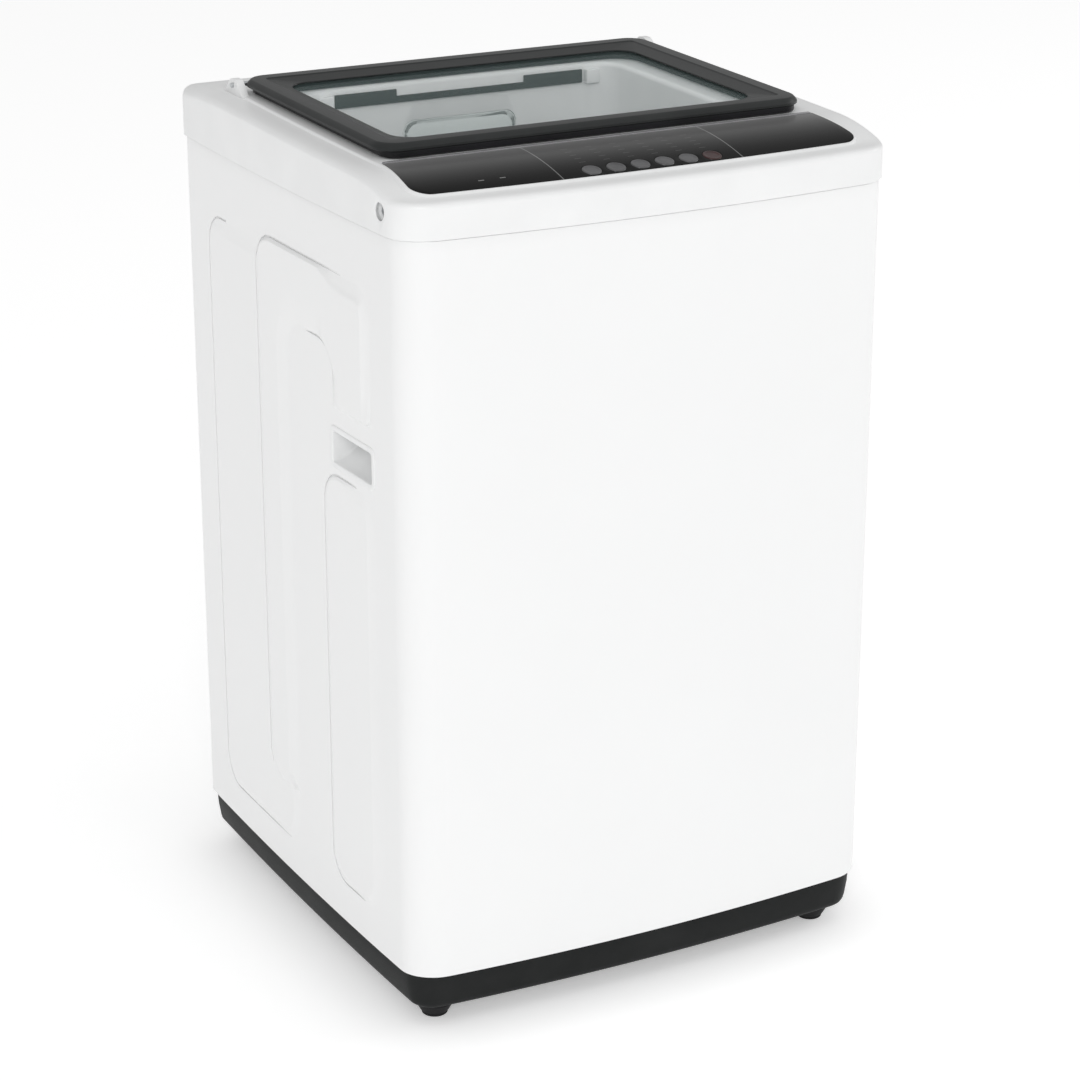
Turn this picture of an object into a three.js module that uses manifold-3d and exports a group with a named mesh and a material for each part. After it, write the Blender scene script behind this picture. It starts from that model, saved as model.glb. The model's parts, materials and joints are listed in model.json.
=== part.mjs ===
// Top load washing machine, in millimetres, +Z up, front face towards -Y.
// The origin lies on the floor, under the middle of the machine.
import * as THREE from "three";
import { mergeVertices } from "three/addons/utils/BufferGeometryUtils.js";
import Module from "manifold-3d";

// Whole machine
const machineWidth = 540;
const machineDepth = 540;
const frontBow = 14; // the front face swells this far between its corners
const sideBow = 5;
const frontCornerRadius = 36;
const rearCornerRadius = 18;
const leastRadius = 4;
const floorClearance = 20;
const baseHeight = 40;
const cabinetHeight = 740;
const seatGap = 0.3; // between a piece and what carries it
const runningGap = 0.3; // round a shaft, stem or slide
const overrun = 6; // how far a cutting shape runs past what it cuts

// Cabinet of sheet steel
const sheetThickness = 1;
const cabinetFrontInset = 1;
const pressStep = 1; // rise of one pressed step in the side walls
const bottomFlange = 22;
const topFlange = 14;
const rearFlange = 34;
const rearWindowMargin = 30;
const rearPressInset = 71;
const pressRadius = 32;
const rearPressBottom = 41;
const rearPressDrop = 69;
const archRearInset = 200;
const archFrontInset = 83;
const archBottom = 98;
const archDrop = 59;
const archTopWidth = 71;
const archLegDrop = 62;
const loopFrontInset = 79;
const loopWidth = 112;
const loopBottom = 45;
const loopGap = 12;

// Grip pockets in the side walls
const gripFrontInset = 84;
const gripWidth = 87;
const gripHeight = 35;
const gripDrop = 215;
const gripDepth = 36;
const gripWall = 2;
const gripRim = 4;
const gripRimRise = 1;
const gripSill = 9;

// Rear panel and what passes through it
const rearPanelInset = 30;
const rearPanelMargin = 8;
const rearPanelPress = 0.8;
const rearRibCount = 3;
const rearRibHeight = 60;
const drainRadius = 17;
const drainBore = 13;
const drainInset = 100;
const drainHeight = 50; // above the bottom of the cabinet
const drainLength = 44;
const glandRadius = 9;
const glandBore = 4;
const glandInset = 85;
const glandDrop = 130;
const glandLength = 26;
const fittingFlange = 6;
const fittingFlangeThickness = 3;

// Base tray and feet
const baseInset = 9;
const baseTaper = 3;
const baseRound = 8;
const baseWall = 4;
const baseDeckThickness = 5;
const baseDeckWidth = 52;
const footSideInset = 48;
const footFrontInset = 55;
const footRearInset = 48;
const footRadius = 20;
const footSoleRadius = 13;
const footSoleHeight = 13;
const footStemRadius = 5;
const footStemLength = 34;
const footBossRadius = 14;

// Top cover
const deckFrontRise = 50; // above the seam between cabinet and cover
const deckRearRise = 56;
const panelDrop = 11; // how far the skin falls from the panel's rear to its front edge
const shoulderWidth = 16;
const shoulderDrop = 5;
const rearShoulderDrop = 13;
const coverWall = 3;
const panelFloor = 4.5; // extra thickness of the cover under the panel
const openingSideInset = 94;
const openingFrontInset = 158;
const openingRearInset = 120;
const openingRadius = 30;
const openingEdge = 5;
const openingFloor = -28; // lower end of the opening's wall, from the seam
const wallBracketInset = 22;
const wallBracketWidth = 16;
const wallBracketDepth = 8;
const wallBracketLow = 34;
const wallBracketHigh = 49;
const trimLow = 35;
const trimHigh = 49;
const trimInset = 33;
const trimNotchHalfWidth = 74;
const trimNotchDepth = 7;
const trimThickness = 3;

// Screws at the sides of the cover
const screwFrontInset = 55;
const screwRise = 22;
const screwPocketRadius = 8.5;
const screwPocketDepth = 7;
const screwPocketWall = 2;
const screwHeadRadius = 4.5;
const screwHeadThickness = 3;
const screwShankRadius = 2;
const screwShankLength = 12;

// Control panel, buttons and board
const panelLength = 88;
const panelFrontInset = 27;
const panelThickness = 3;
const panelRearSideInset = 34;
const panelFrontSideInset = 27;
const panelCornerRadius = 20;
const stripWidth = 5;
const stripRise = 0.8;
const buttonCount = 6;
const buttonPitch = 26;
const buttonShift = 8; // the row's middle lies right of the panel's
const buttonInset = 12;
const buttonHalfLength = 9.5;
const buttonHalfWidth = 9;
const buttonProud = 0.8;
const buttonSkirt = 1.9;
const buttonTravel = 1;
const buttonStemRadius = 2.5;
const boardHalfLength = 105;
const boardFrontInset = 3;
const boardLength = 72;
const boardThickness = 2;
const boardTopRise = 18;
const boardPostRadius = 4;
const boardPostInset = 9;
const switchSize = 7;
const switchHeight = 4;

// Lid
const lidSideInset = 38;
const lidFrontInset = 122;
const hingeInset = 92;
const lidRearReach = 5.5; // lid behind the hinge axis
const lidHalfThickness = 7;
const lidClearance = 1; // between lid and deck
const lidSplit = -0.5; // joint between the two halves of the frame, from the hinge axis
const lidCornerRadius = 24;
const lidBevel = 5;
const lidLip = 3;
const lidFlat = 19;
const lidStep = 1.2;
const lidSideBand = 35;
const lidFrontBand = 36;
const lidRearBand = 34;
const lidInnerFall = 3.4;
const lowerFrameInset = 6;
const lowerFrameLedge = 9;
const glassThickness = 3.2;
const glassTuck = 12;
const bumperRadius = 6;
const bumperInset = 22;
const hingePinRadius = 2.5;
const hingePinLength = 24;
const hingeEarGap = 1.2;
const hingeEarThickness = 8;
const hingeEarRadius = 6;

// Detergent drawer
const drawerHalfWidth = 65;
const drawerTop = 14; // from the seam
const drawerBottom = -25;
const drawerBodyTop = 6;
const drawerFrontThickness = 3;
const drawerRearGap = 12;
const drawerWall = 2;
const drawerCornerRadius = 12;
const housingRearInset = 24;
const housingWall = 2;
const housingHeadroom = 14;

// Water inlet valve
const valveSpacing = 47;
const valveRise = 16;
const valveNozzleRadius = 13;
const valveNozzleBore = 9;
const valveNozzleLength = 30;
const valveBodyHalfWidth = 18;
const valveBodyLength = 38;
const valveBodyHalfHeight = 15;
const valveCollar = 2;

// Tub that hangs in the cabinet
const tubFloor = 190;
const tubTopDrop = 65;
const tubClearance = 32;
const tubWall = 3;
const tubFloorThickness = 5;
const tubNeckRadius = 24;
const earOverhang = 14;
const earHalfWidth = 20;
const earThickness = 16;
const earRise = 10;
const coverRingWidth = 50;
const coverRingThickness = 3;
const coverRingSkirt = 18;
const coverRingLip = 10;

// Basket and its balance ring
const basketFloor = 214;
const basketTopDrop = 19;
const basketGap = 20;
const basketWall = 1;
const basketFloorThickness = 2;
const basketFillet = 16;
const ringHeight = 46;
const ringWidth = 40;
const ringRound = 7;
const ringLipWidth = 3;
const ringLipHeight = 14;
const filterHalfWidth = 38;
const filterDrop = 246;
const filterHeight = 130;
const filterDepth = 20;

// Pulsator
const pulsatorGap = 50;
const pulsatorClearance = 6;
const pulsatorEdge = 5;
const pulsatorDome = 20;
const pulsatorHubRadius = 42;
const vaneCount = 6;
const vaneHeight = 20;
const vaneHalfWidth = 9;
const vaneInset = 20;

// Drive under the tub
const plateThickness = 3;
const plateHalfWidth = 92;
const plateMargin = 14;
const gearboxRadius = 72;
const gearboxHeight = 72;
const gearboxShoulder = 12;
const gearboxBoreDepth = 42;
const inputBoreDepth = 26;
const neckRise = 12; // gearbox neck above the tub's floor
const spinShaftRadius = 15;
const washShaftRadius = 9;
const hubRadius = 46;
const hubThickness = 6;
const inputShaftRadius = 8;
const inputShaftReach = 20;
const pulleyDrop = 6;
const pulleyHeight = 14;
const drivePulleyRadius = 72;
const drivePulleyHub = 20;
const drivePulleyWeb = 5;
const drivePulleyRim = 9;
const grooveDepth = 7;
const grooveHeight = 9;
const beltHeight = 8;
const beltThickness = 6;
const motorInset = 98;
const motorHeight = 70;
const motorShoulder = 8;
const motorPulleyRadius = 24;
const motorShaftRadius = 6;
const motorShaftReach = 24;
const drainValveRadius = 26;
const drainValveHeight = 40;
const drainActuatorLength = 70;
const drainActuatorHalfWidth = 16;
const drainActuatorHeight = 26;

// Suspension
const rodSideInset = 65;
const rodFrontInset = 73;
const rodRearInset = 70;
const rodRadius = 5;
const rodCapRadius = 20;
const rodCapThickness = 6;
const rodHeadRadius = 12;
const springRadius = 17;
const springWire = 4;
const springLength = 84;
const bracketBelowSeam = 48;
const bracketThickness = 2.5;
const bracketLeg = 165;

// Rounding steps
const frontSteps = 8;
const backSteps = 2;
const frontCornerSteps = 4;
const rearCornerSteps = 3;
const cornerSteps = 3;
const drumSteps = 36;
const roundSteps = 16;
const smallSteps = 8;
const beltSteps = 24;
const panelColumns = 14;
const panelRowShares = [0, 0.3, 0.6, 0.84, 0.95, 1];
const skinShares = [0.35, 0.7];
const shoulderInsetShares = [0.12, 0.75];
const shoulderDropShares = [0.67, 0.12];
const shoulderBackPower = 4;
const archFrontShare = 0.32;
const archRearShare = 0.27;
const motorRadiusShare = 0.35;
const drainValveShares = [-0.47, 0.5]; // of the tub's radius, across and backwards
const sideShares = [0.045, 0.09, 0.135, 0.4, 0.7];

// Sizes that follow from the ones above
const halfWidth = machineWidth / 2;
const halfDepth = machineDepth / 2;
const cabinetBottom = floorClearance + baseHeight;
const seam = cabinetBottom + cabinetHeight;
const cabinetSideInset = cabinetFrontInset + 2 * pressStep;
const rearPress = halfDepth - rearPressInset;
const rearPressTop = cabinetHeight - rearPressDrop;
const archRear = halfDepth - archRearInset;
const archFront = archFrontInset - halfDepth;
const archTop = cabinetHeight - archDrop;
const archInnerFront = archFront + (archRear - archFront) * archFrontShare;
const archInnerRear = archRear - (archRear - archFront) * archRearShare;
const archInnerTop = archTop - archTopWidth;
const archLegBottom = archInnerTop - archLegDrop;
const loopFront = loopFrontInset - halfDepth;
const loopRear = loopFront + loopWidth;
const gripFront = gripFrontInset - halfDepth;
const gripRear = gripFront + gripWidth;
const gripTop = cabinetHeight - gripDrop;
const gripBottom = gripTop - gripHeight;
const loopTop = gripBottom - loopGap;
const rearPanelHalfWidth = halfWidth - rearPanelInset;
const drainX = drainInset - halfWidth;
const glandX = halfWidth - glandInset;
const glandHeight = cabinetHeight - glandDrop;
const footX = halfWidth - footSideInset;
const footFrontY = footFrontInset - halfDepth;
const footRearY = halfDepth - footRearInset;
const openingHalfWidth = halfWidth - openingSideInset;
const openingFront = openingFrontInset - halfDepth;
const openingRear = halfDepth - openingRearInset;
const wallBracketX = openingHalfWidth - wallBracketInset;
const trimHalfWidth = openingHalfWidth - trimInset;
const screwY = screwFrontInset - halfDepth;
const panelFront = panelFrontInset - halfDepth;
const panelRearHalfWidth = halfWidth - panelRearSideInset;
const panelFrontHalfWidth = halfWidth - panelFrontSideInset;
const buttonY = panelFront + buttonInset;
const boardFront = panelFront + boardFrontInset;
const boardRear = boardFront + boardLength;
const lidHalfWidth = halfWidth - lidSideInset;
const lidFront = lidFrontInset - halfDepth;
const hingeY = halfDepth - hingeInset;
const housingDepth = halfDepth - openingRear - housingRearInset;
const drawerDepth = housingDepth - drawerRearGap;
const valveX = drawerHalfWidth + valveSpacing;
const tubTop = seam - tubTopDrop;
const tubRadius = Math.min(halfWidth, halfDepth) - tubClearance;
const coverRingInner = tubRadius - coverRingWidth;
const basketTop = tubTop - basketTopDrop;
const basketRadius = tubRadius - basketGap;
const ringInner = basketRadius - ringWidth;
const filterBottom = basketTop - filterDrop;
const pulsatorRadius = basketRadius - pulsatorGap;
const vaneReach = pulsatorRadius - vaneInset;
const motorOffset = halfWidth - motorInset;
const rodX = halfWidth - rodSideInset;
const rodFrontY = rodFrontInset - halfDepth;
const rodRearY = halfDepth - rodRearInset;
const motorRadius = motorOffset * motorRadiusShare;
const panelRear = panelFront + panelLength;
const earLength = Math.hypot(rodX, rodRearY) + earOverhang;
const openingBottom = seam + openingFloor;
const panelRun = panelRear - panelFront;
const stripRear = panelRear + stripWidth;
const deckSlope = (deckRearRise - deckFrontRise) / (hingeY - lidFront);
const hingeAngle = Math.atan(deckSlope);
const hingeZ = seam + deckRearRise + lidClearance + lidHalfThickness;
const rearPanelOuter = halfDepth - cabinetFrontInset - sheetThickness - seatGap;
const plateTop = tubFloor - seatGap;
const driveTop = plateTop - plateThickness - seatGap;
const gearboxBottom = driveTop - gearboxHeight;
const pulleyTop = gearboxBottom - pulleyDrop;
const pulleyMiddle = pulleyTop - pulleyHeight / 2;
const earBottom = tubFloor + earRise;
const springTop = earBottom - seatGap;
const springBottom = springTop - springLength;
const bracketTop = seam - bracketBelowSeam;

const wasm = await Module();
wasm.setup();

// Solids: joined and cut as closed bodies, kept as geometries
function solidOf(geometry) {
  const loose = geometry.index ? geometry.toNonIndexed() : geometry;
  const bare = new THREE.BufferGeometry();
  bare.setAttribute("position", loose.getAttribute("position").clone());
  const merged = mergeVertices(bare, 1e-3);
  const corners = merged.index.array;
  const build = (order) => {
    const triangles = [];
    for (let i = 0; i < corners.length; i += 3) {
      const triangle = order.map((k) => corners[i + k]);
      if (new Set(triangle).size === 3) triangles.push(...triangle);
    }
    return new wasm.Manifold(
      new wasm.Mesh({
        numProp: 3,
        vertProperties: merged.attributes.position.array,
        triVerts: new Uint32Array(triangles),
      }),
    );
  };
  const made = build([0, 1, 2]);
  return made.volume() < 0 ? build([0, 2, 1]) : made;
}

function geometryOf(body) {
  const mesh = body.getMesh();
  const geometry = new THREE.BufferGeometry();
  geometry.setAttribute("position", new THREE.BufferAttribute(mesh.vertProperties, 3));
  geometry.setIndex(new THREE.BufferAttribute(mesh.triVerts, 1));
  return geometry;
}

function join(...pieces) {
  return geometryOf(pieces.map(solidOf).reduce((a, b) => a.add(b)));
}

function cut(piece, ...tools) {
  return geometryOf(tools.map(solidOf).reduce((a, b) => a.subtract(b), solidOf(piece)));
}

function common(a, b) {
  return geometryOf(solidOf(a).intersect(solidOf(b)));
}

// Simple forms
function box(x, y, z) {
  const size = [x, y, z].map(([low, high]) => high - low);
  const middle = [x, y, z].map(([low, high]) => (low + high) / 2);
  return new THREE.BoxGeometry(...size).translate(...middle);
}

function prism(points, low, high) {
  const shape = new THREE.Shape(points);
  return new THREE.ExtrudeGeometry(shape, { depth: high - low, bevelEnabled: false }).translate(0, 0, low);
}

// An outline drawn in Y and Z, run along X
function prismAlongX(points, low, high) {
  const turn = new THREE.Matrix4().makeBasis(
    new THREE.Vector3(0, 1, 0),
    new THREE.Vector3(0, 0, 1),
    new THREE.Vector3(1, 0, 0),
  );
  return prism(points, low, high).applyMatrix4(turn);
}

// An outline drawn in X and Z, run along Y
function prismAlongY(points, low, high) {
  return prism(points, -high, -low).rotateX(Math.PI / 2);
}

function disc(radius, low, high, steps = roundSteps, lowRadius = radius) {
  return new THREE.CylinderGeometry(radius, lowRadius, high - low, steps)
    .rotateX(Math.PI / 2)
    .translate(0, 0, (low + high) / 2);
}

function discAlongX(radius, low, high, steps = roundSteps) {
  return disc(radius, low, high, steps).rotateY(Math.PI / 2);
}

function discAlongY(radius, low, high, steps = roundSteps) {
  return disc(radius, low, high, steps).rotateX(-Math.PI / 2);
}

// Turns a closed profile of radius and height about Z
function turned(profile, steps = drumSteps) {
  const points = [...profile, profile[0]].map(([radius, height]) => new THREE.Vector2(radius, height));
  return new THREE.LatheGeometry(points, steps).rotateX(Math.PI / 2);
}

function arc(x, y, radius, firstTurn, steps) {
  return Array.from({ length: steps + 1 }, (_, i) => {
    const angle = ((firstTurn + i / steps) * Math.PI) / 2;
    return new THREE.Vector2(x + radius * Math.cos(angle), y + radius * Math.sin(angle));
  });
}

// A rectangle with round corners
function roundedBox(left, right, low, high, radius, steps = cornerSteps) {
  return [
    ...arc(right - radius, low + radius, radius, 3, steps),
    ...arc(right - radius, high - radius, radius, 0, steps),
    ...arc(left + radius, high - radius, radius, 1, steps),
    ...arc(left + radius, low + radius, radius, 2, steps),
  ];
}

function evenShares(steps) {
  return Array.from({ length: steps - 1 }, (_, i) => (i + 1) / steps);
}

// A plan outline whose points always come in the same number and order
function planOutline(half, front, back, frontRadius, rearRadius) {
  const corners = [
    arc(half - frontRadius, front + frontRadius, frontRadius, 3, frontCornerSteps),
    arc(half - rearRadius, back - rearRadius, rearRadius, 0, rearCornerSteps),
    arc(-half + rearRadius, back - rearRadius, rearRadius, 1, rearCornerSteps),
    arc(-half + frontRadius, front + frontRadius, frontRadius, 2, frontCornerSteps),
  ];
  const backward = sideShares.map((share) => 1 - share).reverse();
  const runs = [sideShares, evenShares(backSteps), backward, evenShares(frontSteps)];
  return corners.flatMap((corner, i) => {
    const next = corners[(i + 1) % corners.length];
    return [...corner, ...runs[i].map((share) => corner.at(-1).clone().lerp(next[0], share))];
  });
}

function bodyOutline(inset, sideInset = inset) {
  return planOutline(
    halfWidth - sideInset,
    inset - halfDepth,
    halfDepth - inset,
    Math.max(frontCornerRadius - inset, leastRadius),
    Math.max(rearCornerRadius - inset, leastRadius),
  );
}

// The swell of the front and the sides
function swell(point) {
  const share = Math.max(0, (panelRear - point.y) / (panelRear + halfDepth));
  const x = point.x - Math.sign(point.x) * sideBow * (point.y / halfDepth) ** 2;
  const y = point.y + frontBow * share * (point.x / halfWidth) ** 2;
  return new THREE.Vector2(x, y);
}

function bodyPrism(inset, sideInset, low, high) {
  return prism(bodyOutline(inset, sideInset).map(swell), low, high);
}

// A ring of points in space over an outline
function ring(outline, heightOf) {
  return outline.map((point) => {
    const { x, y } = swell(point);
    return new THREE.Vector3(x, y, heightOf(point));
  });
}

function meshOf(points, triangles) {
  const geometry = new THREE.BufferGeometry().setFromPoints(points);
  return geometry.setIndex(triangles);
}

// A closed band through rings of equal length, the last one joined to the first
function ringBody(rings) {
  const count = rings[0].length;
  const triangles = [];
  rings.forEach((_, i) => {
    const here = i * count;
    const there = ((i + 1) % rings.length) * count;
    for (let j = 0; j < count; j++) {
      const k = (j + 1) % count;
      triangles.push(here + j, here + k, there + k, here + j, there + k, there + j);
    }
  });
  return meshOf(rings.flat(), triangles);
}

// The top skin of the cover: a sloping deck that rolls down towards the front
function skinHeight(point) {
  const deck = seam + deckRearRise + (point.y - hingeY) * deckSlope;
  const share = THREE.MathUtils.clamp((panelRear - point.y) / panelRun, 0, 1);
  return deck - panelDrop * share ** 2;
}

// A slab of the skin over the panel, between two heights from the skin
function skinSlab(above, below, grow, rear = panelRear) {
  const shares = rear > panelRear ? [(panelRear - rear) / panelRun, ...panelRowShares] : panelRowShares;
  const rows = shares.map((share) => {
    const y = panelRear - panelRun * share + grow * (1 - 2 * Math.max(0, share));
    const sweep = share > 0 ? share * share * (3 - 2 * share) : 0;
    const roundStart = 1 - panelCornerRadius / panelRun;
    const past = Math.max(0, (share - roundStart) / (1 - roundStart));
    const nip = panelCornerRadius * (1 - Math.sqrt(1 - past * past));
    const half = panelRearHalfWidth + (panelFrontHalfWidth - panelRearHalfWidth) * sweep - nip + grow;
    return Array.from({ length: panelColumns + 1 }, (_, i) => {
      return new THREE.Vector2(half * ((2 * i) / panelColumns - 1), y);
    });
  });
  const layer = (rise) => rows.flatMap((row) => ring(row, (point) => skinHeight(point) + rise));
  const wide = panelColumns + 1;
  const count = rows.length * wide;
  const triangles = [];
  const quad = (a, b, c, d) => triangles.push(a, b, c, a, c, d);
  for (let r = 0; r + 1 < rows.length; r++) {
    for (let c = 0; c < panelColumns; c++) {
      const a = r * wide + c;
      quad(a, a + wide, a + wide + 1, a + 1);
      quad(count + a, count + a + 1, count + a + wide + 1, count + a + wide);
    }
    const left = r * wide;
    const right = left + panelColumns;
    quad(left, left + count, left + wide + count, left + wide);
    quad(right, right + wide, right + wide + count, right + count);
  }
  const last = (rows.length - 1) * wide;
  for (let c = 0; c < panelColumns; c++) {
    quad(c, c + 1, c + 1 + count, c + count);
    quad(last + c, last + c + count, last + c + 1 + count, last + c + 1);
  }
  return meshOf([...layer(above), ...layer(below)], triangles);
}

// Cabinet

// The pressed fields of a side wall, run right across the machine; shrink draws their edges in
function pressedField(name, shrink) {
  const across = (front, rear, low, high, radius) => {
    const outline = roundedBox(
      front,
      rear,
      cabinetBottom + low,
      cabinetBottom + high,
      Math.max(radius, leastRadius),
    );
    return prismAlongX(outline, -machineWidth, machineWidth);
  };
  if (name === "rear") {
    return across(
      shrink,
      rearPress - shrink,
      rearPressBottom + shrink,
      rearPressTop - shrink,
      pressRadius - shrink,
    );
  }
  if (name === "loop") {
    return across(
      loopFront + shrink,
      loopRear - shrink,
      loopBottom + shrink,
      loopTop - shrink,
      pressRadius - shrink,
    );
  }
  const whole = across(
    archFront + shrink,
    archRear - shrink,
    archBottom + shrink,
    archTop - shrink,
    pressRadius - shrink,
  );
  const hollow = across(
    archInnerFront - shrink,
    archInnerRear + shrink,
    archBottom - pressRadius,
    archInnerTop + shrink,
    pressRadius + shrink,
  );
  const under = box(
    [-machineWidth, machineWidth],
    [archFront - pressRadius, archInnerFront + pressRadius],
    [cabinetBottom, cabinetBottom + archLegBottom + shrink],
  );
  return cut(whole, hollow, under);
}

function cabinetShell() {
  const sideFace = (rise) => cabinetSideInset - rise;
  const low = cabinetBottom;
  const high = seam;
  const fields = [
    ["rear", pressStep],
    ["loop", pressStep],
    ["arch", 2 * pressStep],
  ];
  const outside = [bodyPrism(cabinetFrontInset, sideFace(0), low, high)];
  const inside = [
    bodyPrism(
      cabinetFrontInset + sheetThickness,
      sideFace(0) + sheetThickness,
      low + sheetThickness,
      high - sheetThickness,
    ),
  ];
  for (const [name, rise] of fields) {
    outside.push(
      common(bodyPrism(cabinetFrontInset, sideFace(rise), low, high), pressedField(name, 0)),
    );
    inside.push(
      common(
        bodyPrism(
          cabinetFrontInset + sheetThickness,
          sideFace(rise) + sheetThickness,
          low + sheetThickness,
          high - sheetThickness,
        ),
        pressedField(name, sheetThickness),
      ),
    );
  }
  const grip = box(
    [-machineWidth, machineWidth],
    [gripFront, gripRear],
    [cabinetBottom + gripBottom, cabinetBottom + gripTop],
  );
  const rearWindow = box(
    [rearFlange - halfWidth, halfWidth - rearFlange],
    [halfDepth - rearFlange, halfDepth + overrun],
    [low + rearWindowMargin, high - rearWindowMargin],
  );
  return cut(
    join(...outside),
    ...inside,
    bodyPrism(bottomFlange, bottomFlange, low - overrun, low + bottomFlange),
    bodyPrism(topFlange, topFlange, high - topFlange, high + overrun),
    grip,
    rearWindow,
  );
}

// A grip pocket; side is -1 on the left and 1 on the right
function gripPocket(side) {
  const faceX = halfWidth - cabinetSideInset;
  const low = cabinetBottom + gripBottom;
  const high = cabinetBottom + gripTop;
  const rim = common(
    cut(
      bodyPrism(cabinetFrontInset, cabinetSideInset - gripRimRise, low - gripRim, high + gripRim),
      bodyPrism(cabinetFrontInset, cabinetSideInset - seatGap, low - overrun, high + overrun),
    ),
    prismAlongX(
      roundedBox(gripFront - gripRim, gripRear + gripRim, low - gripRim, high + gripRim, leastRadius),
      Math.min(0, side * machineWidth),
      Math.max(0, side * machineWidth),
    ),
  );
  const cup = common(
    bodyPrism(cabinetFrontInset, cabinetSideInset - gripRimRise, low, high),
    box(
      [faceX - gripDepth, faceX + overrun].map((x) => x * side).sort((a, b) => a - b),
      [gripFront + seatGap, gripRear - seatGap],
      [low + seatGap, high - seatGap],
    ),
  );
  const mouth = faceX + overrun;
  const back = faceX - gripDepth + gripWall;
  const hollow = prismAlongY(
    [
      new THREE.Vector2(mouth * side, low + gripWall),
      new THREE.Vector2(mouth * side, high - gripWall),
      new THREE.Vector2(back * side, high - gripWall),
      new THREE.Vector2(back * side, (low + high) / 2),
      new THREE.Vector2((faceX - gripSill) * side, low + gripWall),
    ],
    gripFront + seatGap + gripWall,
    gripRear - seatGap - gripWall,
  );
  return cut(join(rim, cup), hollow);
}

function rearPanel() {
  const low = cabinetBottom + rearPanelMargin;
  const high = seam - rearPanelMargin;
  const inner = rearPanelOuter - sheetThickness;
  const sheet = box([-rearPanelHalfWidth, rearPanelHalfWidth], [inner, rearPanelOuter], [low, high]);
  const ribHalf = rearPanelHalfWidth - 2 * rearFlange;
  const ribPitch = (high - low) / (rearRibCount + 1);
  const ribs = Array.from({ length: rearRibCount }, (_, i) => {
    const middle = low + ribPitch * (i + 1);
    const outline = roundedBox(
      -ribHalf,
      ribHalf,
      middle - rearRibHeight / 2,
      middle + rearRibHeight / 2,
      rearCornerRadius,
    );
    return prismAlongY(outline, inner, rearPanelOuter + rearPanelPress);
  });
  const hole = (x, height, radius) =>
    discAlongY(radius + seatGap, inner - overrun, halfDepth + overrun).translate(x, 0, cabinetBottom + height);
  const drainHole = hole(drainX, drainHeight, drainRadius);
  return cut(join(sheet, ...ribs), drainHole, hole(glandX, glandHeight, glandRadius));
}

// A tube through the rear panel with a collar against its inner face
function rearFitting(radius, bore, length) {
  const inner = rearPanelOuter - sheetThickness - seatGap;
  const outer = halfDepth - seatGap;
  return cut(
    join(
      discAlongY(radius, outer - length, outer),
      discAlongY(radius + fittingFlange, inner - fittingFlangeThickness, inner),
    ),
    discAlongY(bore, outer - length - overrun, outer + overrun),
  );
}

function baseTray() {
  const top = cabinetBottom - seatGap;
  const low = floorClearance;
  const deck = top - baseDeckThickness;
  const level = (inset, height) => ring(bodyOutline(inset), () => height);
  const inner = baseInset + baseWall;
  const tray = ringBody([
    level(baseInset, top),
    level(baseInset + baseTaper / 2, low + 2 * baseRound),
    level(baseInset + baseTaper, low + baseRound),
    level(baseInset + baseTaper + baseRound / 3, low + baseRound / 3),
    level(baseInset + baseTaper + baseRound, low),
    level(inner + baseTaper + baseRound, low),
    level(inner + baseTaper, low + 2 * baseRound),
    level(inner, deck),
    level(inner + baseDeckWidth, deck),
    level(inner + baseDeckWidth, top),
  ]);
  const bosses = footPlaces.map(({ x, y }) =>
    disc(footBossRadius, low, top - seatGap).translate(x, y, 0),
  );
  const bores = footPlaces.map(({ x, y }) =>
    disc(footStemRadius + runningGap, low - overrun, top + overrun).translate(x, y, 0),
  );
  return cut(join(tray, ...bosses), ...bores);
}

function foot() {
  const top = floorClearance - seatGap;
  return turned(
    [
      [0, 0],
      [footSoleRadius, 0],
      [footRadius, footSoleHeight],
      [footRadius, top],
      [footStemRadius, top],
      [footStemRadius, footStemLength + floorClearance],
      [0, footStemLength + floorClearance],
    ],
    roundSteps,
  );
}

// Top cover
function openingOutline(grow) {
  return planOutline(
    openingHalfWidth + grow,
    openingFront - grow,
    openingRear + grow,
    openingRadius + grow,
    openingRadius + grow,
  );
}

function blend(from, to, share) {
  return from.map((point, i) => point.clone().lerp(to[i], share));
}

function coverSkin() {
  const skin = (rise) => (point) => skinHeight(point) + rise;
  const level = (height) => () => height;
  // The shoulder falls further towards the back edge.
  const shoulder = (share) => (point) => {
    const back = Math.max(0, point.y / halfDepth) ** shoulderBackPower;
    return skinHeight(point) - share * (shoulderDrop + (rearShoulderDrop - shoulderDrop) * back);
  };
  const under = (point) => {
    const share = THREE.MathUtils.clamp((stripRear - point.y) / panelFloor + 1, 0, 1);
    return skinHeight(point) - coverWall - panelFloor * share;
  };
  const deckEdge = bodyOutline(shoulderWidth);
  const mouth = openingOutline(openingEdge);
  const mouthBack = openingOutline(openingEdge + coverWall);
  const deckRings = skinShares.map((share) => ring(blend(deckEdge, mouth, share), skin(0)));
  const underRings = [...skinShares].reverse().map((share) => ring(blend(deckEdge, mouthBack, share), under));
  const bottom = seam + seatGap;
  return ringBody([
    ring(bodyOutline(0), level(bottom)),
    ring(bodyOutline(0), shoulder(1)),
    ...shoulderInsetShares.map((share, i) =>
      ring(bodyOutline(shoulderWidth * share), shoulder(shoulderDropShares[i])),
    ),
    ring(deckEdge, skin(0)),
    ...deckRings,
    ring(mouth, skin(0)),
    ring(openingOutline(0), skin(-openingEdge)),
    ring(openingOutline(0), level(openingBottom)),
    ring(openingOutline(coverWall), level(openingBottom)),
    ring(openingOutline(coverWall), skin(-openingEdge - coverWall - panelFloor)),
    ...underRings,
    ring(deckEdge, under),
    ring(bodyOutline(coverWall), (point) => shoulder(1)(point) - skinHeight(point) + under(point)),
    ring(bodyOutline(coverWall), level(bottom)),
  ]);
}

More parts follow.
